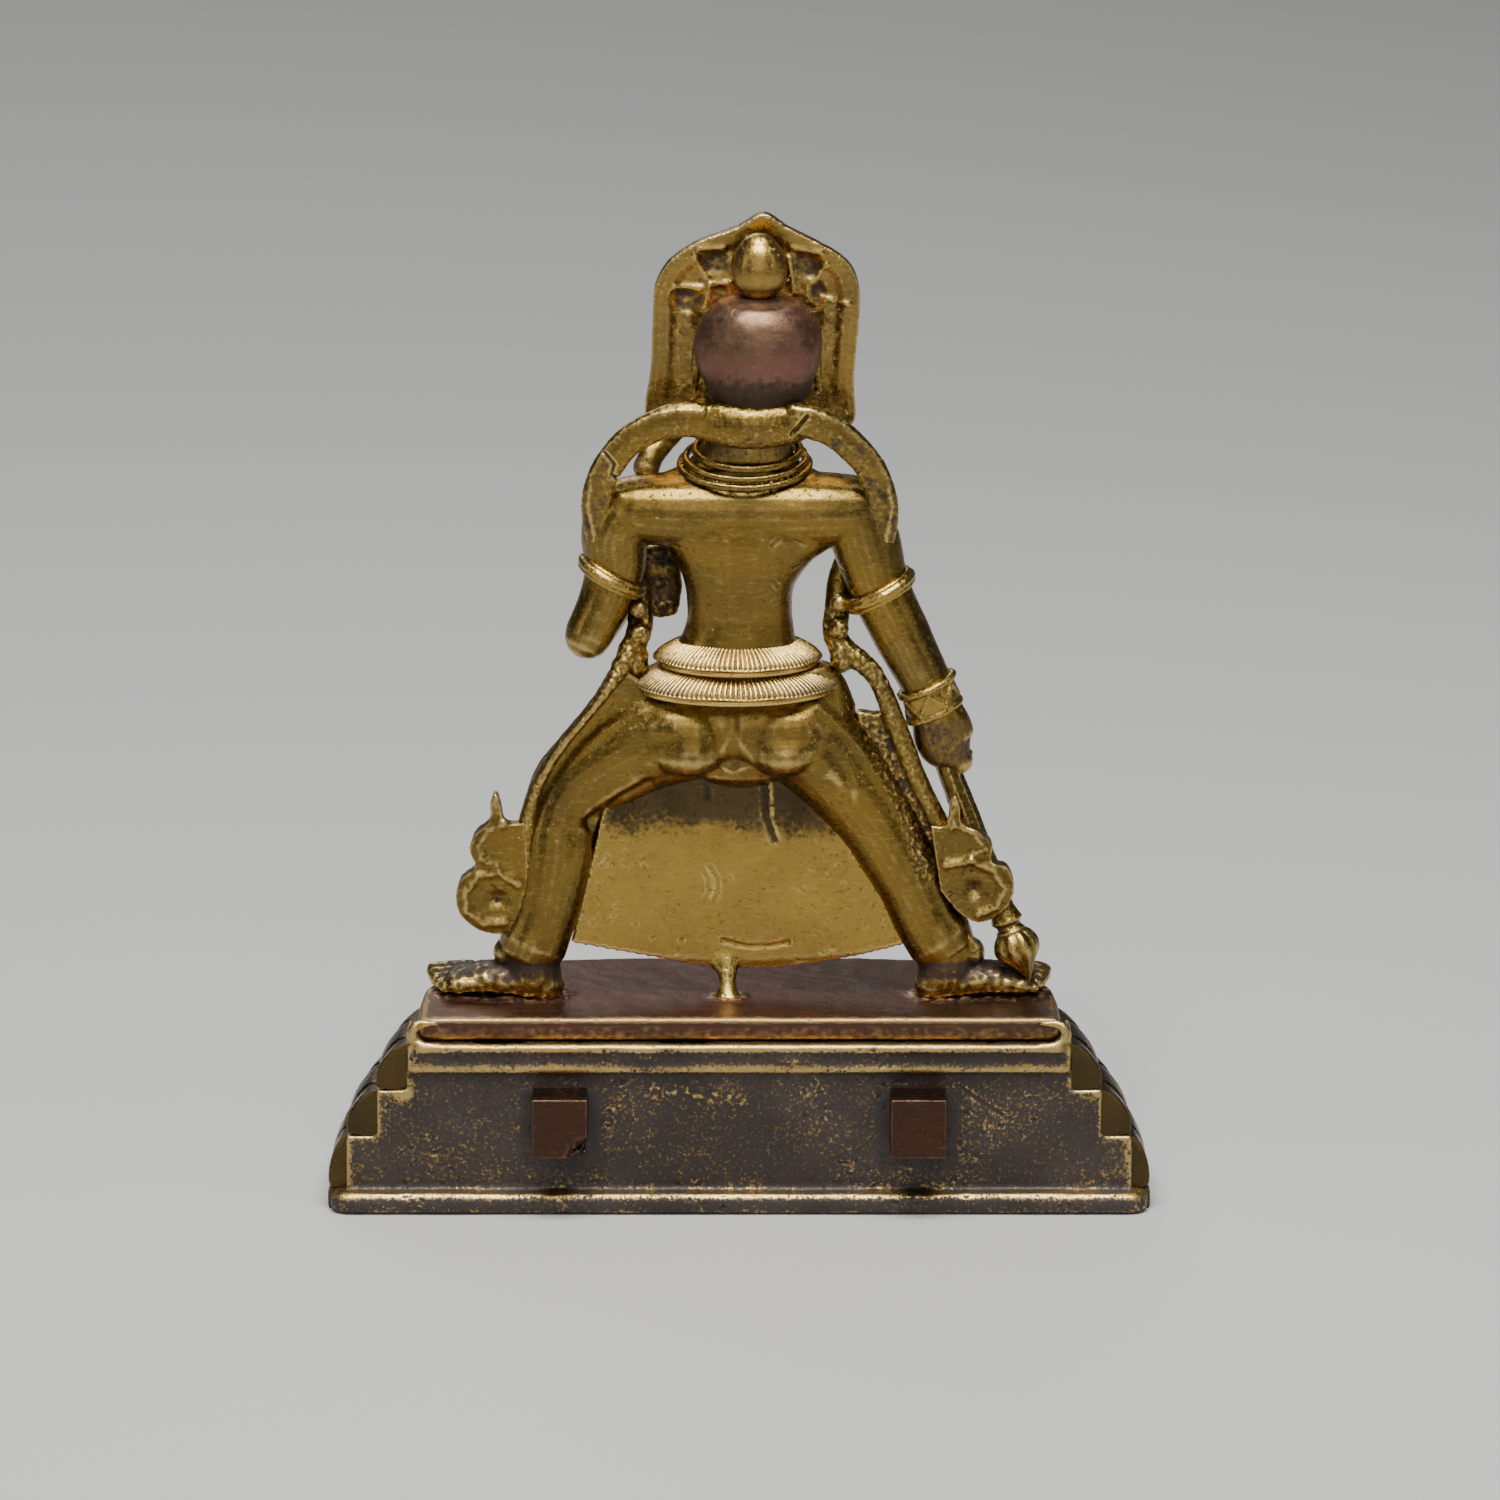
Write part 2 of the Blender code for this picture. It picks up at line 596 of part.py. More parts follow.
def base_rings():
    # (level, tier, share of its bulge, reach of the back beyond the wall)
    rings = [
        (0.0, 0, 0.80, FLANGE_REACH - FLANGE_ROUND),
        (FLANGE_ROUND, 0, 1.0, FLANGE_REACH),
        (FLANGE_HEIGHT - FLANGE_ROUND, 0, 1.0, FLANGE_REACH),
        (FLANGE_HEIGHT, 0, 0.96, FLANGE_REACH - FLANGE_ROUND),
    ]
    level = FLANGE_HEIGHT + 0.0001
    profile = ((0.0, 1.0), (0.30, 0.96), (0.60, 0.76), (0.86, 0.40))
    ledge = BASE_HEIGHT - LEDGE_HEIGHT
    for tier, height in enumerate(TIER_HEIGHTS):
        for share, bulge in profile:
            at = level + share * height
            rings.append((at, tier, bulge, 0.0 if at < ledge else LEDGE_REACH))
        rings.append((level + height - 0.0001, tier, 0.12, 0.0 if tier < 2 else LEDGE_REACH))
        level += height
    rings.append((BASE_HEIGHT + LIP_HEIGHT, 2, 0.0, LEDGE_REACH - 0.0004))
    return rings


def make_base(material):
    shape = bmesh.new()
    loops = []
    for level, tier, bulge, reach in base_rings():
        corner = FLANGE_CORNER if level <= FLANGE_HEIGHT else 0.0
        points = petal_plan(tier, bulge, WALL_Y + reach, corner)
        loops.append([shape.verts.new((point.x, point.y, level)) for point in points])
    for lower, upper in zip(loops, loops[1:]):
        bridge(shape, lower, upper)
    shape.faces.new(loops[0][::-1])
    shape.faces.new(loops[-1])
    return finish_mesh("base", shape, material)


def make_slab(material):
    # The slab keeps the plan of the base's core, and its ends are rounded over.
    shape = bmesh.new()
    loops = []
    bottom = BASE_HEIGHT + CLEARANCE
    for share, inset in ((0.0, 0.0010), (0.22, 0.0003), (0.5, 0.0), (0.78, 0.0003), (1.0, 0.0010)):
        points = plan(SLAB_WIDTH / 2 - inset, SLAB_DEPTH - inset, CORE_POWER, WALL_Y, 40)
        level = bottom + SLAB_THICKNESS * share
        loops.append([shape.verts.new((p.x, p.y - SLAB_SETBACK, level)) for p in points])
    for lower, upper in zip(loops, loops[1:]):
        bridge(shape, lower, upper)
    shape.faces.new(loops[0][::-1])
    shape.faces.new(loops[-1])
    return helper("slab", shape, material)


def make_seat(material):
    # The cut that the slab lies in: open behind and in front, closed by a lip at each end.
    shape = bmesh.new()
    size = (SLAB_WIDTH + 2 * CLEARANCE, 3 * FULL_DEPTH, 2 * SLAB_THICKNESS)
    frame = Matrix.Translation((0, 0, BASE_HEIGHT + size[2] / 2)) @ Matrix.Diagonal((*size, 1))
    bmesh.ops.create_cube(shape, size=1, matrix=frame)
    return helper("seat", shape, material)


def make_lip_end(material):
    # The cut that leaves the lips only at the back.
    shape = bmesh.new()
    size = (2 * CORE_WIDTH + 0.01, FULL_DEPTH, 2 * SLAB_THICKNESS)
    centre = (0, SLAB_BACK - LIP_LENGTH - size[1] / 2, BASE_HEIGHT + size[2] / 2)
    bmesh.ops.create_cube(shape, size=1, matrix=Matrix.Translation(centre) @ Matrix.Diagonal((*size, 1)))
    return helper("lip end", shape, material)


def make_tenons(material):
    shape = bmesh.new()
    root = WALL_Y - 0.004
    for side in (-1, 1):
        size = (TENON_WIDTH, TENON_LENGTH + 0.004, TENON_HEIGHT)
        centre = (side * TENON_SPACING / 2, root + size[1] / 2, TENON_LEVEL)
        frame = Matrix.Translation(centre) @ Matrix.Diagonal((*size, 1))
        made = bmesh.ops.create_cube(shape, size=1, matrix=frame)["verts"]
        outer = [vert for vert in made if vert.co.y > WALL_Y]
        for vert in outer:
            vert.co.x += (centre[0] - vert.co.x) * 0.06
            vert.co.z += (centre[2] - vert.co.z) * 0.06
    return helper("tenons", shape, material)


def build():
    clear_scene()
    gilt = metal("gilt copper", (0.62, 0.43, 0.13), 0.36)
    dark = metal("dark gilt copper", (0.30, 0.20, 0.10), 0.46)
    figure = make_figure(gilt)
    add_boolean(figure, make_slab(gilt), "UNION")
    base = make_base(dark)
    add_boolean(base, make_seat(dark), "DIFFERENCE")
    add_boolean(base, make_lip_end(dark), "DIFFERENCE")
    add_boolean(base, make_tenons(dark), "UNION")


build()
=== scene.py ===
# A small gilt copper figure of a wrathful deity on a petal base: its looks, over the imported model.
import math

import bmesh
import bpy
import numpy as np
from mathutils import Matrix, Vector, noise


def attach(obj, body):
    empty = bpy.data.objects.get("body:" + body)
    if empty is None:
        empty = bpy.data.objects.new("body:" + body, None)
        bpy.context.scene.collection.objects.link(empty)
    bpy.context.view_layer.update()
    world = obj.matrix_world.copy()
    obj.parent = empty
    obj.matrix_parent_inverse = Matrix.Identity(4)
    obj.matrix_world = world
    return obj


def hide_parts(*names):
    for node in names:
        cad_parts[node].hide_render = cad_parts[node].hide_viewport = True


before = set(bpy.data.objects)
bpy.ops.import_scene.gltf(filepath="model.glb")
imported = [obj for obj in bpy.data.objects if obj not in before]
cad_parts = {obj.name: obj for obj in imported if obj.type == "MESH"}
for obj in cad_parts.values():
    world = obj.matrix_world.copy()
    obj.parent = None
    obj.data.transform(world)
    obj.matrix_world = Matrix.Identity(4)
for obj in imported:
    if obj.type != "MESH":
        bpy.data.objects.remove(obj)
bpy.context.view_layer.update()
print("packed model loaded")

# The figure is measured in millimetres from the middle of its foot slab's top, the base from the floor.
ground = {"behind": 2.3, "slabTop": 27.6, "wall": 18.4}
figurePlace = Matrix.Scale(0.001, 4) @ Matrix.Translation((0, ground["behind"], ground["slabTop"]))
basePlace = Matrix.Scale(0.001, 4)


# Shapes

def through(points, steps):
    # a smooth curve through points of any number of values
    given = np.array(points, float)
    padded = np.vstack([given[:1], given, given[-1:]])
    runs = []
    for start in range(len(given) - 1):
        a, b, c, d = padded[start:start + 4]
        for t in np.arange(steps) / steps:
            cubic = (3 * b - a - 3 * c + d) * t**3 + (2 * a - 5 * b + 4 * c - d) * t**2
            runs.append((cubic + (c - a) * t + 2 * b) / 2)
    runs.append(given[-1])
    return np.array(runs)


def edgesOf(verts):
    return list({edge for vert in verts for edge in vert.link_edges})


def tube(shape, stations, depthAxis=(0, 1, 0), steps=4, sides=20):
    # ellipses along stations of (x, y, z, half width, half depth), rounded at both ends
    curve = through(stations, steps)
    path = [Vector(station[:3]) for station in curve]
    rings = []
    for index, station in enumerate(curve):
        along = (path[min(index + 1, len(path) - 1)] - path[max(index - 1, 0)]).normalized()
        depth = Vector(depthAxis)
        depth = (depth - along * depth.dot(along)).normalized()
        turn = Matrix((depth.cross(along), depth, along)).transposed().to_4x4()
        rings.append((path[index], turn, station[3], station[4]))
    capped = []
    for (spot, turn, wide, deep), way in ((rings[0], -1), (rings[-1], 1)):
        reach = min(wide, deep) * way
        cap = []
        for angle in (0.52, 0.96, 1.36):
            moved = spot + turn.to_3x3() @ Vector((0, 0, reach * math.sin(angle)))
            cap.append((moved, turn, wide * math.cos(angle), deep * math.cos(angle)))
        capped.append(cap)
    loops = []
    for spot, turn, wide, deep in capped[0][::-1] + rings + capped[1]:
        lay = Matrix.Translation(spot) @ turn @ Matrix.Diagonal((wide, deep, 1, 1))
        made = bmesh.ops.create_circle(shape, segments=sides, radius=1, matrix=lay)["verts"]
        loops.append(edgesOf(made))
    for near, far in zip(loops, loops[1:]):
        bmesh.ops.bridge_loops(shape, edges=near + far)
    bmesh.ops.contextual_create(shape, geom=loops[0])
    bmesh.ops.contextual_create(shape, geom=loops[-1])


def ball(shape, centre, radii, segments=28):
    lay = Matrix.Translation(centre) @ Matrix.Diagonal((*radii, 1))
    bmesh.ops.create_uvsphere(shape, u_segments=segments, v_segments=segments // 2, radius=1, matrix=lay)


def block(shape, low, high):
    middle = (Vector(low) + Vector(high)) / 2
    size = Vector(high) - Vector(low)
    bmesh.ops.create_cube(shape, size=1, matrix=Matrix.Translation(middle) @ Matrix.Diagonal((*size, 1)))


def hoop(shape, centre, along, radii, rim, turns=72, sides=12):
    # a ring: a small ellipse of (half thickness, half height) spun round, stretched, then leaned
    for vert in shape.verts:
        vert.tag = True
    upright = Matrix.Rotation(math.pi / 2, 4, "X") @ Matrix.Diagonal((*rim, 1, 1))
    stand = Matrix.Translation((radii[0], 0, 0)) @ upright
    made = bmesh.ops.create_circle(shape, segments=sides, radius=1, matrix=stand)["verts"]
    wholeTurn = {"axis": (0, 0, 1), "angle": math.tau, "steps": turns, "use_merge": True}
    bmesh.ops.spin(shape, geom=made + edgesOf(made), **wholeTurn)
    fresh = [vert for vert in shape.verts if not vert.tag]
    lean = Vector(along).normalized().to_track_quat("Z", "Y").to_matrix().to_4x4()
    lay = Matrix.Translation(centre) @ lean @ Matrix.Diagonal((1, radii[1] / radii[0], 1, 1))
    bmesh.ops.transform(shape, matrix=lay, verts=fresh)


def plate(shape, outline, back, thickness):
    # an upright plate from an outline of (x, z), its back face at y = back
    verts = [shape.verts.new((x, back, z)) for x, z in outline]
    face = shape.faces.new(verts)
    grown = bmesh.ops.extrude_face_region(shape, geom=[face])["geom"]
    front = [part for part in grown if isinstance(part, bmesh.types.BMVert)]
    bmesh.ops.translate(shape, vec=(0, -thickness, 0), verts=front)


def toObject(name, shape, place):
    bmesh.ops.transform(shape, matrix=place, verts=shape.verts)
    bmesh.ops.recalc_face_normals(shape, faces=shape.faces)
    mesh = bpy.data.meshes.new(name)
    shape.to_mesh(mesh)
    shape.free()
    made = bpy.data.objects.new(name, mesh)
    bpy.context.scene.collection.objects.link(made)
    return made


def applyModifiers(piece):
    bpy.context.view_layer.update()
    graph = bpy.context.evaluated_depsgraph_get()
    done = piece.evaluated_get(graph)
    mesh = bpy.data.meshes.new_from_object(done, preserve_all_data_layers=True, depsgraph=graph)
    piece.modifiers.clear()
    piece.data = mesh


def cast(name, shape, place, voxel, softening):
    # one skin over all the forms, as wax joins them, with small fillets where they meet
    rough = toObject(name, shape, place)
    skin = rough.modifiers.new("skin", "REMESH")
    skin.mode = "VOXEL"
    skin.voxel_size = voxel * 0.001
    soft = rough.modifiers.new("soft", "SMOOTH")
    soft.factor = 0.5
    soft.iterations = softening
    applyModifiers(rough)
    return rough


# Relief: every point is pushed along its normal by so many millimetres

def readPoints(mesh, place):
    at = np.empty(len(mesh.vertices) * 3, "f")
    mesh.vertices.foreach_get("co", at)
    out = np.empty(len(mesh.vertices) * 3, "f")
    mesh.vertex_normals.foreach_get("vector", out)
    at = at.reshape(-1, 3).astype(float)
    return at * 1000 - np.array(place.translation) * 1000, out.reshape(-1, 3).astype(float)


def carve(piece, place, relief):
    at, out = readPoints(piece.data, place)
    at = at + out * relief(at, out)[:, None]
    flat = (at * 0.001 + np.array(place.translation)).astype("f").ravel()
    piece.data.vertices.foreach_set("co", flat)
    piece.data.update()


def grain(at, size, seed=0.0):
    # smooth noise, -1 to 1, its lumps about so many millimetres wide
    return np.array([noise.noise(spot) for spot in (at / size + seed).tolist()])


def ramp(low, high, value):
    share = np.clip((value - low) / (high - low), 0, 1)
    return share * share * (3 - 2 * share)


def awayFrom(at, line):
    # distance in x and z from a line of points
    best = np.full(len(at), 1e9)
    flat = at[:, [0, 2]]
    for start, end in zip(line, line[1:]):
        start = np.array(start, float)
        run = np.array(end, float) - start
        share = np.clip(((flat - start) @ run) / (run @ run), 0, 1)
        best = np.minimum(best, np.linalg.norm(flat - start - share[:, None] * run, axis=1))
    return best


def bell(distance, width):
    # 1 in the middle, soon 0 past so wide
    return np.exp(-(distance / width) ** 2)


def groove(at, line, width, depth):
    # a negative depth makes a ridge
    return -depth * bell(awayFrom(at, line), width)


def backwards(out, low=0.1, high=0.6):
    # 1 where the surface looks to the back
    return ramp(low, high, out[:, 1])


def bump(at, centre, radii, height):
    away = ((at - np.array(centre)) / np.array(radii)) ** 2
    return height * np.exp(-away.sum(1))


thinning = {"above": 20000, "share": 0.58}


def thin(piece, share):
    # fewer triangles, lost where the surface is even
    piece.modifiers.new("fewer", "DECIMATE").ratio = share
    applyModifiers(piece)


def finishSurface(piece, place, finish, soilAndShade=None, near=3, far=40, limit=0.6, sharp=None):
    # marks hollows, edges, soiled places and places of painted shade for the material, then hands the piece
    # to the frame
    mesh = piece.data
    at, out = readPoints(mesh, place)
    ends = np.empty(len(mesh.edges) * 2, "i")
    mesh.edges.foreach_get("vertices", ends)
    ends = ends.reshape(-1, 2)
    one = np.concatenate([ends[:, 0], ends[:, 1]])
    two = np.concatenate([ends[:, 1], ends[:, 0]])
    degree = np.maximum(np.bincount(one, minlength=len(at)), 1)
    soft = at.copy()
    for turn in range(far):
        for axis in range(3):
            total = np.bincount(one, weights=soft[two, axis], minlength=len(at))
            soft[:, axis] = 0.3 * soft[:, axis] + 0.7 * total / degree
        if turn == near - 1:
            fine = ((soft - at) * out).sum(1)
    broad = ((soft - at) * out).sum(1)
    marks = {
        "fine": np.clip(fine / 0.05, -1, 1),
        "broad": np.clip(broad / limit, -1, 1),
        "soilAndShade": np.zeros(len(at)) if soilAndShade is None else soilAndShade(at, out),
    }
    for name, values in marks.items():
        mesh.attributes.new(name, "FLOAT", "POINT").data.foreach_set("value", values.astype("f"))
    mesh.shade_smooth()
    if sharp:
        mesh.set_sharp_from_angle(angle=math.radians(sharp))
    mesh.materials.clear()
    mesh.materials.append(finish)
    if len(mesh.polygons) > thinning["above"]:
        thin(piece, thinning["share"])
    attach(piece, "root")
    print(piece.name, len(piece.data.polygons), "faces")


# Finishes

class Nodes:
    # writes a node tree from left to right with few words
    def __init__(self, name):
        self.material = bpy.data.materials.new(name)
        self.material.use_nodes = True
        self.tree = self.material.node_tree
        self.shader = self.tree.nodes["Principled BSDF"]
        self.place = self.tree.nodes.new("ShaderNodeTexCoord").outputs["Object"]

    def feed(self, socket, value):
        if isinstance(value, bpy.types.NodeSocket):
            self.tree.links.new(value, socket)
        else:
            socket.default_value = value

    def sum(self, kind, *values, clamp=False):
        node = self.tree.nodes.new("ShaderNodeMath")
        node.operation = kind
        node.use_clamp = clamp
        for socket, value in zip(node.inputs, values):
            self.feed(socket, value)
        return node.outputs[0]

    def noise(self, scale, detail=4.0, rough=0.55, stretch=None):
        place = self.place
        if stretch:
            mapping = self.tree.nodes.new("ShaderNodeMapping")
            mapping.inputs["Scale"].default_value = stretch
            self.tree.links.new(place, mapping.inputs["Vector"])
            place = mapping.outputs[0]
        node = self.tree.nodes.new("ShaderNodeTexNoise")
        self.tree.links.new(place, node.inputs["Vector"])
        node.inputs["Scale"].default_value = scale
        node.inputs["Detail"].default_value = detail
        node.inputs["Roughness"].default_value = rough
        return node.outputs["Fac"]

    def mark(self, name):
        node = self.tree.nodes.new("ShaderNodeAttribute")
        node.attribute_name = name
        return node.outputs["Fac"]

    def between(self, value, low, high):
        node = self.tree.nodes.new("ShaderNodeMapRange")
        node.interpolation_type = "SMOOTHSTEP"
        self.feed(node.inputs["Value"], value)
        node.inputs["From Min"].default_value = low
        node.inputs["From Max"].default_value = high
        return node.outputs["Result"]

    def mix(self, share, first, second):
        node = self.tree.nodes.new("ShaderNodeMix")
        node.data_type = "RGBA"
        self.feed(node.inputs["Factor"], share)
        self.feed(node.inputs[6], (*first, 1) if isinstance(first, tuple) else first)
        self.feed(node.inputs[7], (*second, 1) if isinstance(second, tuple) else second)
        return node.outputs[2]


def wornMetal(name, look):
    # gilding over copper: it thins where the surface is soiled, sunk or pitted; the soil channel also
    # carries painted shade, shown in the same dark colours
    nodes = Nodes(name)
    patches = nodes.noise(look["patches"], 5, 0.6)
    clouds = nodes.noise(look["patches"] * 0.35, 3, 0.5)
    specks = nodes.noise(look["pits"], 4, 0.62)
    dust = nodes.noise(look["pits"] * 2.6, 3, 0.6)
    brushed = nodes.noise(1500, 4, 0.6, look["brushed"])
    lossAndShade = nodes.sum("MULTIPLY_ADD", nodes.mark("soilAndShade"), look["soilAndShade"], look["wear"])
    lossAndShade = nodes.sum("MULTIPLY_ADD", nodes.mark("fine"), look["fine"], lossAndShade)
    lossAndShade = nodes.sum("MULTIPLY_ADD", nodes.mark("broad"), look["broad"], lossAndShade)
    lossAndShade = nodes.sum("MULTIPLY_ADD", nodes.sum("SUBTRACT", patches, 0.5), look["patchy"], lossAndShade)
    lossAndShade = nodes.sum("MULTIPLY_ADD", nodes.sum("SUBTRACT", specks, 0.5), look["speckled"], lossAndShade)
    bareAndShaded = nodes.between(lossAndShade, 0.30, 0.62)
    blackenedAndShaded = nodes.between(lossAndShade, 0.66, 1.15)
    edge = nodes.sum("MULTIPLY_ADD", nodes.mark("fine"), -1.0, nodes.sum("MULTIPLY", dust, 0.5))
    bright = nodes.between(edge, 0.34, 0.95)
    gold = nodes.mix(nodes.between(clouds, 0.34, 0.66), look["gold"], look["olive"])
    gold = nodes.mix(nodes.sum("MULTIPLY", nodes.between(brushed, 0.50, 0.80), 0.25), gold, look["pale"])
    gold = nodes.mix(nodes.sum("MULTIPLY", bright, 0.6), gold, look["pale"])
    under = nodes.mix(nodes.between(dust, 0.35, 0.65), look["copper"], look["brown"])
    under = nodes.mix(nodes.sum("MULTIPLY", nodes.between(clouds, 0.40, 0.62), 0.55), under, look["dirtAndShade"])
    colour = nodes.mix(bareAndShaded, gold, under)
    colour = nodes.mix(blackenedAndShaded, colour, look["dirtAndShade"])
    nodes.tree.links.new(colour, nodes.shader.inputs["Base Color"])
    metallic = nodes.sum("MULTIPLY_ADD", bareAndShaded, -look["dull"], 1.0)
    metallic = nodes.sum("MULTIPLY_ADD", blackenedAndShaded, -0.45, metallic, clamp=True)
    nodes.tree.links.new(metallic, nodes.shader.inputs["Metallic"])
    gloss = nodes.sum("MULTIPLY_ADD", bareAndShaded, look["matt"], look["gloss"])
    gloss = nodes.sum("MULTIPLY_ADD", blackenedAndShaded, 0.2, gloss)
    gloss = nodes.sum("MULTIPLY_ADD", nodes.sum("SUBTRACT", specks, 0.5), 0.35, gloss)
    gloss = nodes.sum("MULTIPLY_ADD", nodes.sum("SUBTRACT", brushed, 0.5), 0.25, gloss, clamp=True)
    nodes.tree.links.new(gloss, nodes.shader.inputs["Roughness"])
    height = nodes.sum("MULTIPLY", nodes.between(specks, 0.60, 0.74), -look["pitDepth"])
    height = nodes.sum("MULTIPLY_ADD", dust, look["grainDepth"], height)
    height = nodes.sum("MULTIPLY_ADD", brushed, look["brushDepth"], height)
    height = nodes.sum("MULTIPLY_ADD", patches, look["waveDepth"], height)
    dent = nodes.tree.nodes.new("ShaderNodeBump")
    dent.inputs["Strength"].default_value = 1.0
    dent.inputs["Distance"].default_value = 0.0001
    nodes.tree.links.new(height, dent.inputs["Height"])
    nodes.tree.links.new(dent.outputs["Normal"], nodes.shader.inputs["Normal"])
    return nodes.material


giltLook = {
    "gold": (0.225, 0.139, 0.029), "olive": (0.165, 0.108, 0.028), "pale": (0.66, 0.48, 0.17),
    "copper": (0.095, 0.056, 0.036), "brown": (0.060, 0.040, 0.028), "dirtAndShade": (0.015, 0.010, 0.007),
    "wear": 0.02, "soilAndShade": 0.75, "fine": 0.14, "broad": 0.34, "patchy": 0.34, "speckled": 0.60,
    "patches": 260, "pits": 1500, "brushed": (0.35, 1, 1.5),
    "gloss": 0.29, "matt": 0.20, "dull": 0.35,
    "pitDepth": 0.9, "grainDepth": 0.35, "brushDepth": 0.10, "waveDepth": 0.5,
}
gilt = wornMetal("fireGilding", giltLook)
roughGilt = wornMetal("pittedGilding", {
    **giltLook, "wear": 0.10, "patchy": 0.8, "speckled": 1.2, "pits": 1100,
    "pitDepth": 1.8, "grainDepth": 0.6, "gloss": 0.34,
})
beltGilt = wornMetal("beltGilding", {
    **giltLook, "gold": (0.56, 0.37, 0.095), "olive": (0.46, 0.30, 0.08), "pale": (0.76, 0.56, 0.21),
    "fine": 0.75, "broad": 0.3, "soilAndShade": 1.0, "gloss": 0.27, "copper": (0.17, 0.11, 0.042),
})
clothGilt = wornMetal("clothGilding", {
    **giltLook, "gold": (0.37, 0.24, 0.052), "olive": (0.31, 0.20, 0.048), "copper": (0.11, 0.073, 0.030),
    "brown": (0.085, 0.058, 0.026), "dirtAndShade": (0.030, 0.021, 0.010), "dull": 0.10, "patchy": 0.15,
})
crownGilt = wornMetal("crownGilding", {
    **giltLook, "gold": (0.34, 0.215, 0.055), "olive": (0.25, 0.165, 0.048),
})
hairCopper = wornMetal("hairCopper", {
    **giltLook, "gold": (0.21, 0.100, 0.074), "olive": (0.155, 0.090, 0.054), "pale": (0.40, 0.27, 0.18),
    "copper": (0.075, 0.040, 0.025), "brown": (0.050, 0.032, 0.018), "wear": 0.06,
    "patches": 180, "pits": 900, "gloss": 0.45, "pitDepth": 0.3, "waveDepth": 0.9,
})
slabCopper = wornMetal("slabCopper", {
    **giltLook, "gold": (0.104, 0.046, 0.032), "olive": (0.088, 0.050, 0.030), "pale": (0.42, 0.28, 0.13),
    "copper": (0.075, 0.034, 0.023), "brown": (0.052, 0.030, 0.020), "wear": 0.15,
    "patches": 150, "pits": 1300, "brushed": (0.1, 1, 1.5), "gloss": 0.44, "pitDepth": 0.5,
})
wallBrown = wornMetal("wallBrown", {
    **giltLook, "gold": (0.38, 0.25, 0.075), "olive": (0.24, 0.16, 0.052), "pale": (0.60, 0.43, 0.18),
    "copper": (0.072, 0.054, 0.045), "brown": (0.053, 0.040, 0.033), "dirtAndShade": (0.023, 0.018, 0.015),
    "wear": 0.54, "fine": 0.12, "broad": 0.25, "patchy": 0.45, "speckled": 1.6,
    "patches": 150, "pits": 2300, "gloss": 0.32, "matt": 0.16, "dull": 0.40,
    "pitDepth": 0.5, "grainDepth": 0.4,
})
petalGilt = wornMetal("petalGilding", {
    **giltLook, "gold": (0.095, 0.062, 0.022), "olive": (0.058, 0.042, 0.020), "pale": (0.13, 0.09, 0.03),
    "wear": 0.10, "fine": 0.05, "patchy": 0.6, "patches": 180,
})
tenonBrown = wornMetal("tenonBrown", {
    **giltLook, "gold": (0.066, 0.032, 0.021), "olive": (0.048, 0.028, 0.020), "pale": (0.17, 0.11, 0.07),
    "copper": (0.055, 0.028, 0.020), "brown": (0.040, 0.024, 0.018), "wear": 0.3,
    "patches": 200, "gloss": 0.36,
})
print("finishes made")


# The body: trunk, limbs, hands and feet in one skin

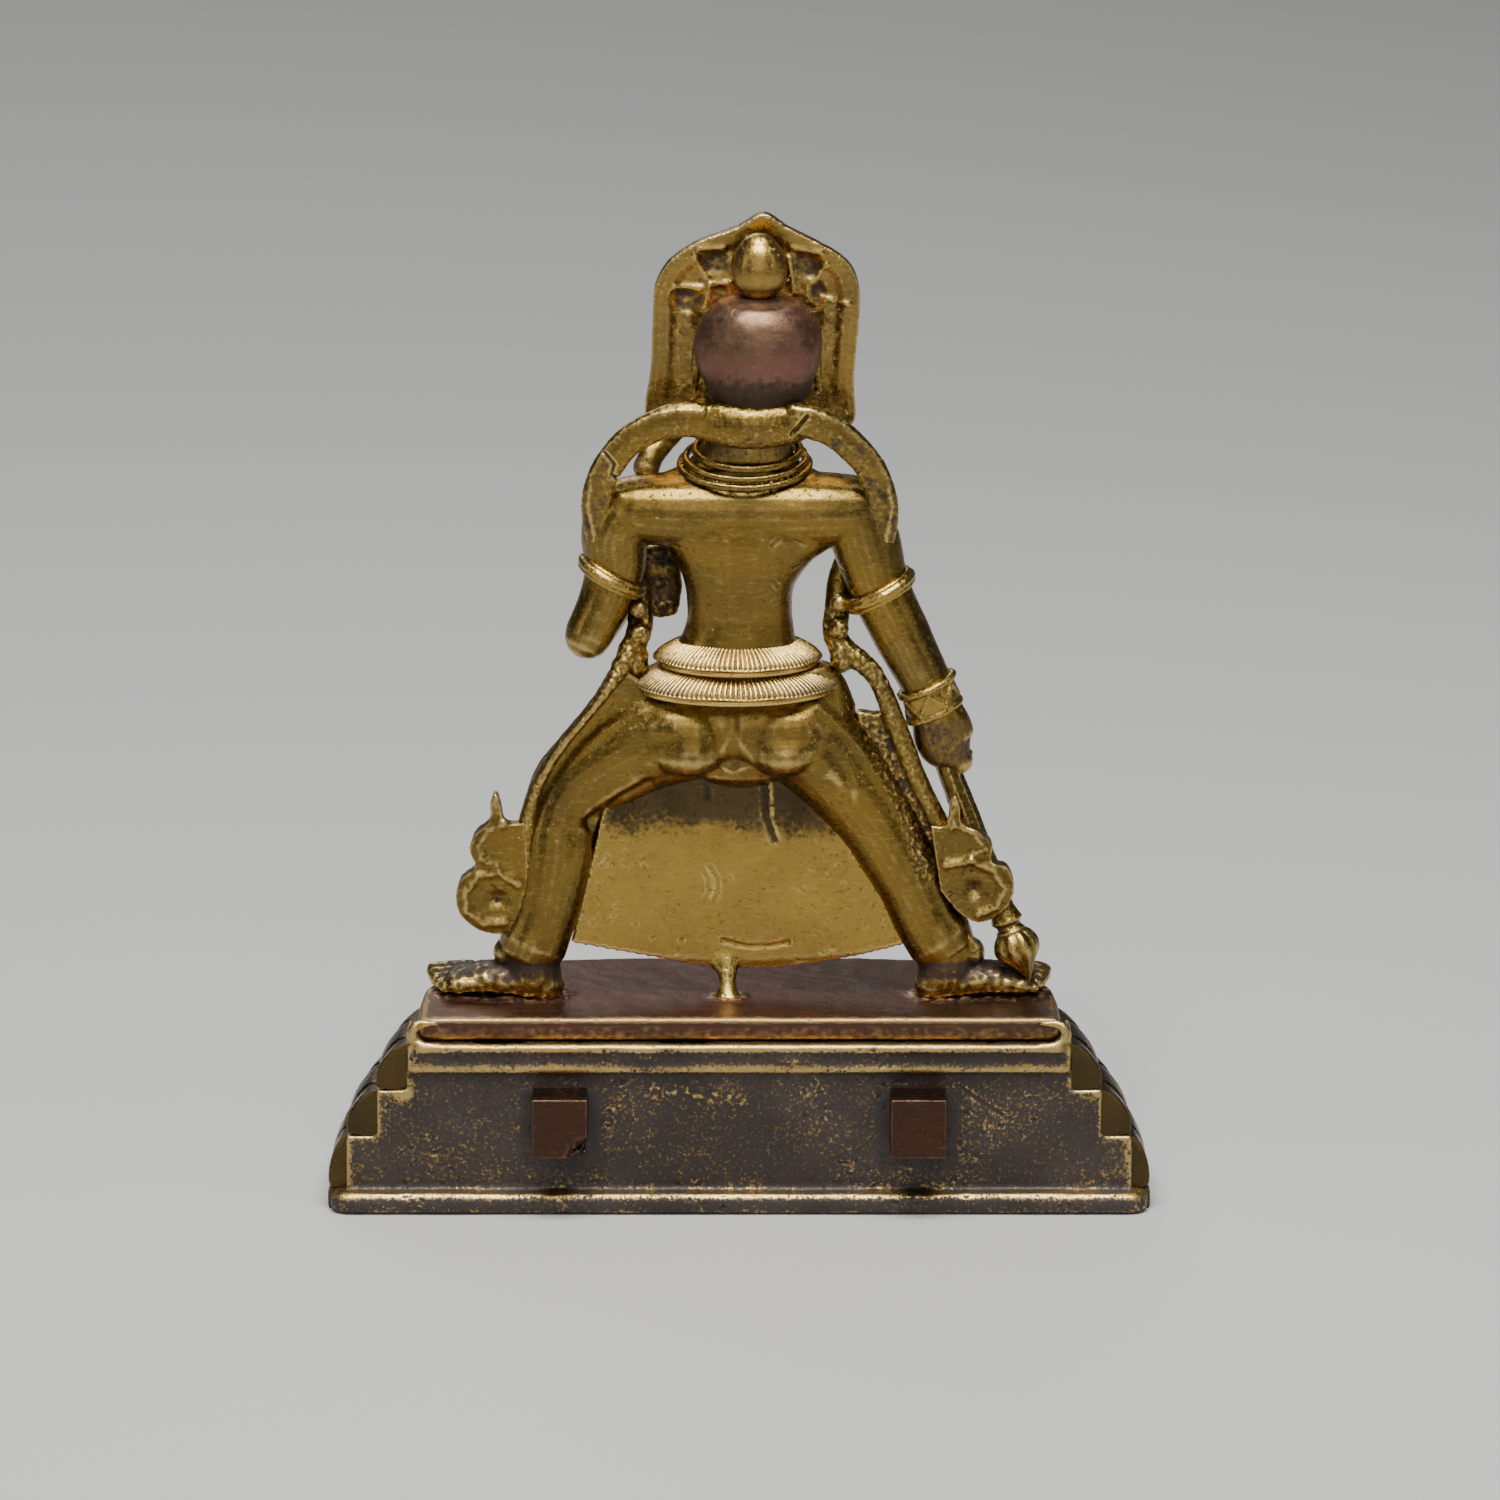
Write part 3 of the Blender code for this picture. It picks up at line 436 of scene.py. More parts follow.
body = {
    "voxel": 0.29,
    "softening": 4,
    "trunk": (
        (-0.3, 1.8, 34.4, 8.0, 4.6), (-0.3, 1.8, 36.4, 13.0, 5.8), (-0.2, 1.5, 39.8, 16.2, 5.9),
        (-0.1, 1.1, 43.6, 15.0, 4.6), (0.4, 1.2, 46.9, 11.0, 5.9), (0.1, 1.0, 49.9, 8.6, 5.5),
        (-0.1, 0.9, 52.9, 7.6, 5.4), (-0.1, 0.9, 55.6, 7.3, 5.4), (-0.1, 1.0, 59.4, 7.8, 5.8),
        (-0.3, 1.3, 63.4, 10.0, 6.2), (-0.6, 1.4, 66.9, 13.6, 6.2), (-0.9, 1.5, 70.2, 15.4, 5.4),
        (-1.0, 1.4, 72.8, 15.0, 4.0), (-1.1, 1.3, 74.9, 10.8, 3.6), (-1.2, 1.5, 77.2, 7.3, 4.5),
        (-1.6, 1.5, 80.4, 5.8, 5.2), (-2.2, 0.8, 86.0, 6.0, 5.5),
    ),
    "shoulders": (
        (14.6, 1.6, 70.0, 4.7, 4.7), (7.0, 1.6, 69.8, 5.4, 5.7), (-8.8, 1.6, 69.8, 5.4, 5.7),
        (-16.0, 1.6, 69.8, 4.9, 4.7),
    ),
    "leftLeg": (
        (7.0, 1.5, 38.5, 7.6, 5.8), (13.0, 1.2, 36.4, 7.2, 5.6), (18.2, 0.6, 33.3, 6.9, 5.4),
        (23.0, -0.2, 29.4, 6.2, 5.3), (25.2, 0.8, 24.0, 5.5, 4.9), (25.7, 1.8, 20.0, 5.3, 4.6),
        (26.6, 2.5, 14.5, 4.9, 4.2), (27.9, 3.0, 10.1, 4.7, 3.9), (29.0, 3.3, 7.4, 4.9, 4.2),
    ),
    "rightLeg": (
        (-7.4, 1.5, 38.6, 7.6, 5.8), (-13.0, 1.3, 33.4, 7.0, 5.6), (-18.8, 1.2, 25.6, 5.9, 5.0),
        (-22.1, 1.8, 20.0, 5.3, 4.6), (-24.3, 2.4, 16.0, 5.0, 4.3), (-26.4, 3.0, 11.0, 4.7, 3.9),
        (-28.3, 3.3, 8.0, 4.9, 4.2),
    ),
    "leftArm": (
        (15.6, 1.7, 70.0, 4.4, 4.4), (17.3, 1.5, 66.6, 4.7, 4.6), (17.2, 1.2, 61.8, 4.3, 4.3),
        (18.6, 1.4, 57.0, 3.7, 3.8), (21.0, 2.0, 51.9, 3.4, 3.4),
    ),
    "leftForearm": (
        (20.4, 1.8, 52.6, 3.2, 3.2), (17.6, -3.5, 55.0, 3.0, 3.0), (13.0, -9.0, 58.6, 2.5, 2.5),
        (10.6, -11.4, 60.8, 2.2, 2.2),
    ),
    "rightArm": (
        (-16.2, 1.7, 70.0, 4.4, 4.4), (-17.6, 1.5, 65.4, 4.8, 4.6), (-19.6, 1.5, 58.6, 4.3, 4.3),
        (-23.1, 1.5, 51.0, 4.0, 4.0), (-26.0, 1.4, 45.2, 3.6, 3.6), (-27.4, 1.3, 41.5, 3.2, 3.2),
    ),
    "hipPlate": (
        (12.0, 44.6), (16.0, 47.4), (20.4, 42.2), (26.2, 34.8), (29.4, 27.6), (24.0, 25.0), (14.0, 36.0),
    ),
    "rightHand": (
        (-27.4, 1.3, 42.0, 3.2, 3.1), (-28.3, 1.2, 38.6, 4.2, 3.0), (-29.2, 1.0, 35.6, 4.0, 2.7),
        (-31.0, 1.2, 33.4, 1.9, 1.7),
    ),
}


bodyMarks = {
    "swells": (  # place, reach and height of buttocks and dents
        ((10.8, 37.6), (3.2, 1.9), -0.65), ((-7.4, 38.4), (3.2, 1.5), -0.55),
        ((6.8, 35.0), (4.6, 2.3), 1.15), ((-6.1, 35.0), (4.0, 2.2), 1.05),
    ),
    "creases": (  # line, width and depth, below 0 for a ridge
        (((0.9, 43.0), (0.9, 40.0)), 1.0, 0.25), (((3.0, 33.6), (6.0, 32.8), (9.6, 32.6)), 0.8, 0.35),
        (((12.6, 31.4), (16.2, 29.4), (19.0, 27.0), (21.4, 25.4)), 0.8, 0.40),
        (((20.8, 27.6), (17.6, 29.9), (14.7, 31.9)), 1.1, -0.30),
        (((-12.9, 32.8), (-15.7, 30.3)), 1.2, -0.28),
        (((-12.8, 36.4), (-14.8, 33.6), (-15.2, 30.2)), 0.9, 0.22),
        (((-0.8, 71.0), (-0.4, 62.0), (-0.2, 55.0)), 1.6, 0.18),
    ),
    "nicks": (
        ((9.6, 65.6), (8.4, 65.4)), ((-8.0, 67.0), (-9.2, 66.2)), ((-4.6, 66.2), (-5.6, 67.0)),
        ((-7.6, 62.4), (-9.0, 63.0)), ((-12.0, 62.6), (-14.4, 61.6)), ((-5.4, 59.6), (-5.0, 60.4)),
    ),
    "cleft": ((0.9, 38.0), (0.8, 34.6)),
    "roughSide": ((-17.2, 41.0), (-20.6, 34.0), (-23.6, 27.0), (-26.2, 19.0)),  # outer side of the right leg
}


def footOf(shape, side):
    tube(shape, ((side * 29.2, 3.2, 7.0, 4.2, 4.0), (side * 32.4, 3.0, 6.2, 2.2, 2.6)), sides=16)
    tube(shape, ((side * 29.0, 3.4, 7.0, 3.9, 3.6), (side * 29.0, 3.6, 2.4, 3.9, 3.4)), sides=16)
    tube(shape, (
        (side * 27.2, 3.8, 1.6, 3.0, 2.6), (side * 31.0, 3.2, 2.2, 3.4, 2.6),
        (side * 35.0, 2.4, 2.3, 3.8, 2.4), (side * 39.2, 1.6, 1.7, 4.6, 2.0),
    ), depthAxis=(0, 0, 1), sides=18)
    for toe in range(5):
        share = toe / 4
        thick = 1.35 - 0.5 * share
        reach = 43.0 - 1.6 * share * share
        tube(shape, (
            (side * 38.0, -1.9 + 6.0 * share, 2.2 - 0.3 * share, thick, thick),
            (side * (reach - 1.8), -2.6 + 7.2 * share, 2.0 - 0.3 * share, thick * 0.86, thick * 0.86),
            (side * reach, -3.0 + 7.6 * share, 1.6 - 0.3 * share, thick * 0.95, thick * 0.9),
        ), depthAxis=(0, 0, 1), sides=12)


def fistOf(shape):
    ball(shape, (8.6, -12.4, 63.0), (2.6, 2.0, 2.6))
    tube(shape, (
        (7.4, -12.6, 64.0, 0.9, 0.9), (6.8, -12.8, 67.6, 0.85, 0.85), (6.6, -12.6, 70.0, 0.7, 0.7),
    ), sides=10)
    for finger in range(3):
        level = 63.8 - 1.3 * finger
        tube(shape, ((8.6, -14.0, level + 0.3, 0.75, 0.75), (6.2, -13.6, level, 0.75, 0.75)), sides=10)
    for finger in range(4):
        level = 38.6 - 1.5 * finger
        across = -28.0 - 0.5 * finger
        tube(shape, (
            (across - 2.6, -0.6, level, 0.8, 0.8), (across, -2.4, level - 0.2, 0.9, 0.9),
            (across + 2.6, -1.0, level - 0.6, 0.8, 0.8),
        ), sides=10)


def bodyRelief(at, out):
    push = 0.05 * grain(at, 5.0) + 0.03 * grain(at, 1.6, 7)
    behind = backwards(out)
    front = backwards(-out)
    for spot, reach, height in bodyMarks["swells"]:
        push += behind * bump(at, (spot[0], 7, spot[1]), (reach[0], 9, reach[1]), height)
    for line, width, depth in bodyMarks["creases"]:
        push += behind * groove(at, line, width, depth)
    for nick in bodyMarks["nicks"]:
        push += behind * groove(at, nick, 0.22, 0.14)
    flare = ramp(39.2, 34.4, at[:, 2]) * ramp(33.0, 35.0, at[:, 2])
    push -= behind * 0.8 * flare * ramp(1.0, 0.0, abs(at[:, 0] - 0.8) / (0.7 + 2.6 * flare))
    push -= behind * bump(at, (20.6, 5, 24.8), (0.7, 6, 1.1), 0.9)  # a pit behind the left knee
    # navel, chest line and kneecaps in front
    push -= front * bump(at, (-0.2, -8.4, 52.4), (0.8, 4, 0.8), 0.7)
    push += front * groove(at, ((5.4, 62.4), (-0.6, 63.6), (-7.0, 62.4)), 0.7, 0.4)
    push += front * bump(at, (23.6, -5, 28.6), (2.8, 5, 2.8), 0.4)
    rough = ramp(2.2, 0.6, awayFrom(at, bodyMarks["roughSide"]))
    push += rough * (0.20 * grain(at, 0.9, 3) + 0.16 * grain(at, 0.5, 5))
    feet = ramp(5.5, 3.5, at[:, 2])
    push += feet * 0.16 * grain(at, 1.0, 11)
    return push


def bodySoilAndShade(at, out):
    x, y, z = at.T
    feet = ramp(2.8, 4.0, z) * ramp(6.4, 5.2, z) + 0.8 * ramp(-0.4, 0.4, out[:, 2]) * ramp(7.0, 5.0, z)
    return np.max([
        0.5 * ramp(2.4, 0.4, awayFrom(at, bodyMarks["roughSide"])),
        0.75 * ramp(41.4, 39.6, z) * ramp(-24.6, -25.6, x) * ramp(30.0, 33.0, z),  # right hand darkened: painted shade
        0.85 * np.clip(feet, 0, 1),
        0.65 * ramp(76.0, 78.5, z),  # neck
        0.45 * ramp(1.0, 0.2, abs(z - 44.2)) * backwards(out, 0.2),  # under the belts: painted shade
        # darker in the cleft: painted shade in the crease
        0.22 * ramp(2.4, 0.4, awayFrom(at, bodyMarks["cleft"])) * backwards(out),
    ], axis=0)


def makeBody():
    shape = bmesh.new()
    tube(shape, body["trunk"], sides=36)
    for name in ("shoulders", "leftLeg", "rightLeg", "leftArm", "rightArm", "rightHand"):
        tube(shape, body[name], sides=24)
    tube(shape, body["leftForearm"], depthAxis=(0, 0, 1), sides=20)
    ball(shape, (-0.2, -2.4, 53.5), (7.2, 6.2, 6.6))
    plate(shape, body["hipPlate"], 3.9, 3.0)
    ball(shape, (-0.8, -1.4, 67.4), (6.0, 4.4, 6.0))
    for side in (-1, 1):
        ball(shape, (side * 5.0 - 0.8, -2.4, 66.0), (5.6, 3.6, 4.2))
        ball(shape, (side * 7.0 + 0.4, 3.2, 37.8), (7.8, 5.2, 5.7))
        footOf(shape, side)
    fistOf(shape)
    made = cast("body", shape, figurePlace, body["voxel"], body["softening"])
    carve(made, figurePlace, bodyRelief)
    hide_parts("figure")
    finishSurface(made, figurePlace, gilt, bodySoilAndShade)


# The cloth panel between the legs, its front folds and the strut under it

cloth = {
    "voxel": 0.27,
    "hem": ((23.6, 7.6), (14.0, 5.8), (5.5, 4.3), (-0.8, 3.8), (-7.2, 4.1), (-15.6, 5.4), (-23.4, 7.4)),
    "folds": 9,
    "creases": (  # line, width and depth, below 0 for a ridge
        (((4.6, 32.0), (4.4, 28.4)), 0.5, 0.25), (((-3.4, 32.0), (-3.8, 26.0), (-5.0, 22.6)), 0.45, 0.35),
        (((-4.4, 32.0), (-4.6, 26.6)), 0.5, -0.30),
        (((4.0, 18.9), (3.0, 17.2), (2.9, 15.4), (3.6, 13.8)), 0.22, 0.16),
        (((5.2, 18.7), (4.3, 17.0), (4.2, 15.2), (4.8, 13.9)), 0.22, 0.14),
        (((2.4, 7.9), (-1.2, 7.0), (-4.2, 7.1), (-7.0, 7.6)), 0.24, 0.28),
    ),
}


def clothRelief(at, out):
    x, y, z = at.T
    behind = ramp(0.2, 0.7, out[:, 1])
    front = ramp(0.2, 0.7, -out[:, 1])
    push = 0.10 * grain(at, 6.0, 2) + 0.05 * grain(at, 1.8, 4)
    push += behind * (bump(at, (0, 3, 19), (13, 9, 9), 0.5) - bump(at, (1, 3, 30), (10, 9, 5), 0.25))
    for line, width, depth in cloth["creases"]:
        push += behind * groove(at, line, width, depth)
    push += behind * 0.14 * bell(z - 5.2 - 0.004 * x * x, 0.8)
    worn = ramp(0.1, 0.6, grain(at, 5.0, 15) + 0.5 * ramp(6.0, 14.0, abs(x)) + 0.5 * ramp(12, 7, z))
    push -= behind * 0.14 * worn * ramp(0.36, 0.55, grain(at, 0.65, 9))
    # the hem waves a little and its lower edge is thin
    push += front * 0.10 * np.sin(x * 1.9 + 0.4 * np.sin(z * 0.3)) * ramp(34, 20, z)
    return push


def clothSoilAndShade(at, out):
    x, y, z = at.T
    behind = ramp(0.2, 0.7, out[:, 1])
    # the upper back of the panel darkened: painted shadow under the buttocks and thighs
    soilAndShade = 0.90 * behind * ramp(18.0, 28.0, z + 2.0 * grain(at, 5.0, 8))
    soilAndShade += 0.40 * ramp(4.0, 1.5, z) * (1 - behind)
    soilAndShade += 0.30 * behind * ramp(0.1, 0.5, grain(at, 4.0, 21)) * ramp(16, 8, z)
    # down-facing faces by the hem darkened: painted shade
    soilAndShade += 0.5 * ramp(0.2, 0.8, -out[:, 2]) * ramp(9, 6, z) * ramp(3.2, 4.0, z)
    return np.clip(soilAndShade, 0, 1)


def makeCloth():
    shape = bmesh.new()
    hem = [tuple(point) for point in through(cloth["hem"], 5)]
    plate(shape, [(12.0, 38.0), (19.0, 27.0)] + hem + [(-16.0, 26.0), (-10.0, 38.0)], 3.1, 2.0)
    for fold in range(cloth["folds"]):
        share = fold / (cloth["folds"] - 1) - 0.5
        foot = 5.4 + 18.0 * share * share
        tube(shape, (
            (14.0 * share, 0.0, 36.0, 0.9, 1.3), (26.0 * share, 0.4, 22.0, 1.3, 1.6),
            (38.0 * share, 0.6, foot, 1.8, 1.8),
        ), sides=12)
    tube(shape, (
        (0.4, -5.0, 46.0, 2.6, 1.2), (0.2, -4.6, 36.0, 3.0, 1.2), (0.0, -2.6, 20.0, 3.2, 1.1),
        (0.0, -1.4, 8.6, 3.8, 1.1),
    ), sides=16)
    tube(shape, (
        (1.6, 4.6, -0.2, 2.3, 2.0), (1.6, 4.4, 0.5, 1.7, 1.6), (1.6, 3.8, 2.0, 1.2, 1.2),
        (1.7, 3.2, 3.4, 1.5, 1.2), (2.1, 2.6, 4.8, 2.3, 1.0), (2.4, 2.4, 5.8, 2.7, 0.9),
    ), sides=16)
    made = cast("clothPanel", shape, figurePlace, cloth["voxel"], 4)
    carve(made, figurePlace, clothRelief)
    finishSurface(made, figurePlace, clothGilt, clothSoilAndShade)


# Scarves: over the shoulders, down both sides, and their curled ends

scarf = {
    "voxel": 0.21,
    "leftArc": (
        (18.8, 3.6, 64.6, 1.9, 1.0), (19.7, 4.6, 70.0, 2.0, 1.0), (19.2, 5.4, 74.4, 2.0, 1.0),
        (17.5, 6.0, 77.9, 2.0, 1.0), (15.0, 6.2, 80.8, 2.0, 1.0), (11.4, 6.4, 82.9, 2.1, 1.0),
        (8.0, 6.6, 83.8, 2.3, 1.1), (4.8, 6.2, 83.5, 2.3, 1.1),
    ),
    "rightArc": (
        (-7.0, 6.9, 84.2, 2.0, 1.0), (-9.7, 7.0, 83.6, 2.2, 1.1), (-13.4, 6.7, 81.9, 2.1, 1.0),
        (-17.4, 6.0, 77.9, 2.0, 1.0), (-19.3, 5.4, 74.0, 2.0, 1.0), (-20.0, 4.6, 69.6, 2.0, 1.0),
        (-19.2, 3.6, 64.6, 1.9, 1.0),
    ),
    "nape": (
        (5.4, 4.8, 83.3, 2.6, 1.5), (2.2, 6.4, 83.0, 2.8, 1.8), (-1.9, 7.0, 82.8, 2.9, 2.0),
        (-6.0, 6.4, 83.0, 2.8, 1.8), (-8.6, 5.0, 83.3, 2.6, 1.5),
    ),
    "leftFall": (
        (18.6, 0.0, 66.6, 1.8, 1.0), (15.0, -2.4, 61.0, 1.8, 1.2), (13.8, -0.4, 54.6, 1.8, 1.5),
        (14.6, 2.0, 50.6, 1.8, 1.5), (19.4, 4.4, 43.4, 0.9, 1.8), (25.4, 4.4, 35.8, 0.9, 1.8),
        (28.8, 4.0, 29.0, 1.1, 1.6), (30.0, 3.9, 22.0, 1.4, 1.4), (30.2, 3.9, 14.0, 1.4, 1.4),
    ),
    "rightFall": (
        (-18.6, 0.0, 66.6, 1.8, 1.0), (-14.8, -2.0, 61.0, 1.8, 1.2), (-13.7, -0.2, 55.4, 1.8, 1.5),
        (-13.9, 1.8, 50.6, 1.8, 1.5), (-18.8, 3.0, 46.6, 1.4, 1.3), (-22.2, 3.4, 38.6, 1.45, 1.3),
        (-25.2, 3.6, 31.0, 1.4, 1.3), (-28.4, 3.8, 24.0, 1.4, 1.4), (-30.2, 4.2, 15.4, 1.6, 1.4),
    ),
    "behindArm": ((11.8, -4.6, 62.0, 3.4, 1.2), (11.6, -5.0, 57.5, 3.7, 1.2), (11.8, -5.0, 53.8, 3.3, 1.1)),
    "besideNeck": ((13.0, -1.0, 75.0, 1.9, 1.6), (11.6, -2.0, 77.4, 1.7, 1.5), (8.4, -3.2, 80.0, 1.2, 1.2)),
    "webs": (  # outline, back face and thickness
        (((13.6, 41.0), (14.6, 48.0), (19.2, 43.2), (25.4, 35.4), (20.0, 34.0)), 3.2, 2.4),
        ((
            (-16.4, 41.0), (-21.2, 40.4), (-25.2, 31.0), (-29.6, 21.0), (-28.8, 13.0), (-24.0, 18.0),
            (-18.4, 33.0),
        ), 2.8, 2.4),
        (((-29.0, 13.4), (-31.2, 10.6), (-33.9, 7.4), (-33.2, 6.6), (-29.4, 7.2)), 5.4, 2.0),
    ),
    "leftCurl": (
        (29.6, 25.6), (32.6, 25.5), (33.3, 28.2), (34.0, 29.8), (34.7, 28.4), (34.9, 25.8), (36.8, 24.0),
        (37.7, 21.4), (36.9, 19.2), (39.0, 17.2), (39.7, 14.3), (38.8, 11.8), (36.4, 10.0), (33.6, 9.4),
        (31.4, 10.4), (29.6, 13.0),
    ),
    "rightCurl": (
        (-26.8, 25.4), (-29.0, 25.5), (-29.5, 28.2), (-30.1, 29.8), (-30.8, 28.2), (-31.2, 25.6),
        (-33.7, 24.4), (-35.4, 22.6), (-35.3, 20.2), (-37.6, 19.2), (-38.5, 16.6), (-37.5, 13.6),
        (-34.2, 11.4), (-31.0, 12.6), (-28.2, 16.0),
    ),
}


def archRelief(at, out):
    x, y, z = at.T
    outer = [(point[0] * 1.06, point[2] + 1.5) for point in scarf["leftArc"]]
    other = [(point[0] * 1.06, point[2] + 1.5) for point in scarf["rightArc"]]
    push = 0.06 * grain(at, 3.0, 1) + 0.05 * grain(at, 1.0, 2) + 0.04 * grain(at, 0.5, 3)
    behind = ramp(0.1, 0.6, out[:, 1])
    push += behind * 0.22 * bell(np.minimum(awayFrom(at, outer), awayFrom(at, other)), 0.45)
    push += groove(at, ((18.6, 79.2), (17.2, 77.6), (17.6, 76.0), (16.0, 74.8)), 0.2, 0.35)
    push += groove(at, ((-9.4, 84.6), (-8.6, 83.6), (-7.4, 82.0)), 0.26, 0.6)
    push += behind * bump(at, (-8.0, 8, 84.8), (1.3, 3, 0.7), 0.3)
    return push


def rightWeb(at):
    # the rough web of metal between the right leg and its scarf
    x, y, z = at.T
    return ramp(-15.0, -17.0, x + (38 - z) * 0.62) * ramp(3.2, 2.6, y) * ramp(42, 39, z)


def fallRelief(at, out):
    rough = 0.10 * ramp(7, 4, abs(at[:, 2] - 50)) + 0.20 * rightWeb(at)
    coarse = 0.07 * grain(at, 2.2, 1) + (0.05 + rough) * grain(at, 0.9, 2)
    return coarse + (0.04 + 0.6 * rough) * grain(at, 0.5, 3)


def curlRelief(at, out):
    behind = ramp(0.2, 0.7, out[:, 1])
    push = 0.08 * grain(at, 1.6, 5) + 0.07 * grain(at, 0.7, 6)
    for rib, lift in (
        ((
            (31.0, 16.8), (33.6, 18.4), (36.6, 18.0), (38.4, 15.6), (38.2, 12.8), (35.8, 11.0), (33.0, 11.2),
        ), 0.55),
        (((33.0, 25.4), (35.0, 24.6), (36.4, 22.4), (36.0, 20.4), (34.0, 19.6)), 0.45),
        (((33.2, 26.0), (34.0, 28.6)), 0.35),
        (((-29.0, 19.8), (-32.4, 20.4), (-35.6, 19.0), (-37.2, 16.4), (-36.0, 13.8), (-33.6, 12.6)), 0.6),
        (((-30.4, 25.6), (-33.0, 24.4), (-34.2, 22.2), (-32.4, 20.8)), 0.5),
        (((-29.6, 25.4), (-30.2, 28.4)), 0.35),
    ):
        push += behind * groove(at, rib, 0.75, -lift)
    push -= behind * bump(at, (33.9, 5.3, 14.6), (1.5, 6, 1.1), 0.9)
    push -= behind * bump(at, (-32.9, 6.2, 16.2), (1.4, 6, 1.2), 1.1)
    return push


def scarfSoil(at, out):
    soilAndShade = 0.22 * ramp(0.15, 0.55, grain(at, 2.0, 31)) + 0.18 * ramp(0.1, 0.6, grain(at, 0.8, 33))
    x, y, z = at.T
    soilAndShade += 0.5 * ramp(85.0, 78.0, z + 0.1 * x) * ramp(60.0, 66.0, z)
    soilAndShade += 0.5 * ramp(-2.6, -3.8, y) * ramp(64.0, 62.0, z) + 0.35 * rightWeb(at)
    return np.clip(soilAndShade + 0.2 * ramp(0.2, 0.8, -out[:, 1]), 0, 1)


def makeScarves():
    shape = bmesh.new()
    for name in ("leftArc", "rightArc", "nape"):
        fuller = [(x, y, z, wide * 1.08, deep * 1.1) for x, y, z, wide, deep in scarf[name]]
        tube(shape, fuller, steps=6, sides=22)
    arch = cast("shoulderScarf", shape, figurePlace, scarf["voxel"], 3)
    carve(arch, figurePlace, archRelief)
    finishSurface(arch, figurePlace, gilt, scarfSoil)
    shape = bmesh.new()
    tube(shape, scarf["leftFall"], sides=18)
    tube(shape, scarf["rightFall"], sides=18)
    tube(shape, scarf["behindArm"], sides=16)
    tube(shape, scarf["besideNeck"], sides=16)
    for side, height in ((1, 48.2), (-1, 49.0)):
        ball(shape, (side * 14.4, 1.4, height), (1.8, 2.6, 2.6))
        ball(shape, (side * 13.9, 2.6, height + 4.0), (1.4, 1.5, 1.5))
        ball(shape, (side * 14.0, 2.2, height + 7.6), (1.3, 1.4, 1.3))
    for outline, back, thickness in scarf["webs"]:
        plate(shape, outline, back, thickness)
    falls = cast("sideScarves", shape, figurePlace, scarf["voxel"], 3)
    carve(falls, figurePlace, fallRelief)
    finishSurface(falls, figurePlace, roughGilt, scarfSoil)
    shape = bmesh.new()
    plate(shape, [tuple(point) for point in through(scarf["leftCurl"], 4)], 5.3, 2.6)
    plate(shape, [tuple(point) for point in through(scarf["rightCurl"], 4)], 6.2, 2.8)
    curls = cast("scarfCurls", shape, figurePlace, 0.18, 5)
    carve(curls, figurePlace, curlRelief)
    finishSurface(curls, figurePlace, roughGilt, scarfSoil)


# Belts with cut lines, armlets, bracelet and necklaces

belts = {
    "upper": {"centre": (0.2, 0.9, 49.8), "along": (0, 0.03, 1), "radii": (10.7, 7.4), "lines": 98},
    "lower": {"centre": (0.5, 1.1, 46.1), "along": (0, 0.05, 1), "radii": (13.5, 8.3), "lines": 118},
    "profile": ((-3.8, 1.7), (-3.0, 1.5), (-1.2, 0.7), (0.3, -0.2), (0.9, -0.8), (0.8, -1.25), (-3.8, -1.4)),
    "depth": 0.30,
}


def makeBelt(name, lay):
    # the profile is spun round with six steps to a cut line
    shape = bmesh.new()
    turns = lay["lines"] * 6
    profile = through(belts["profile"] + belts["profile"][:1], 3)[:-1]
    verts = [shape.verts.new((lay["radii"][0] + reach, 0, level)) for reach, level in profile]
    for near, far in zip(verts, verts[1:] + verts[:1]):
        shape.edges.new((near, far))
    wholeTurn = {"axis": (0, 0, 1), "angle": math.tau, "steps": turns, "use_merge": True}
    bmesh.ops.spin(shape, geom=verts + list(shape.edges), **wholeTurn)
    for vert in shape.verts:
        angle = math.atan2(vert.co.y, vert.co.x)
        wave = 0.5 + 0.5 * math.cos(angle * lay["lines"] + 0.5 * math.sin(angle * 13))
        share = belts["depth"] * wave**2 * (1 if -0.9 < vert.co.z < 1.4 else 0)
        vert.co.x -= 0.7 * share * math.cos(angle)
        vert.co.y -= 0.7 * share * math.sin(angle)
        vert.co.z -= 0.7 * share
        vert.co.y *= lay["radii"][1] / lay["radii"][0]
        vert.co.z += 0.12 * noise.noise(vert.co * 0.22)
    rim = [radius + 0.2 for radius in lay["radii"]]
    hoop(shape, (0, 0, -1.75), (0, 0, 1), rim, (0.5, 0.4), turns=160)
    lean = Vector(lay["along"]).normalized().to_track_quat("Z", "Y").to_matrix().to_4x4()
    bmesh.ops.transform(shape, matrix=Matrix.Translation(lay["centre"]) @ lean, verts=shape.verts)
    made = toObject(name, shape, figurePlace)
    # darker towards the ends of the belt, and down-facing faces darkened: painted shade
    sides = lambda at, out: 0.85 * ramp(4.0, 13.0, abs(at[:, 0] - 0.4)) + 0.3 * ramp(0.0, -0.6, out[:, 2])
    finishSurface(made, figurePlace, beltGilt, sides, near=2, far=6, limit=0.2)


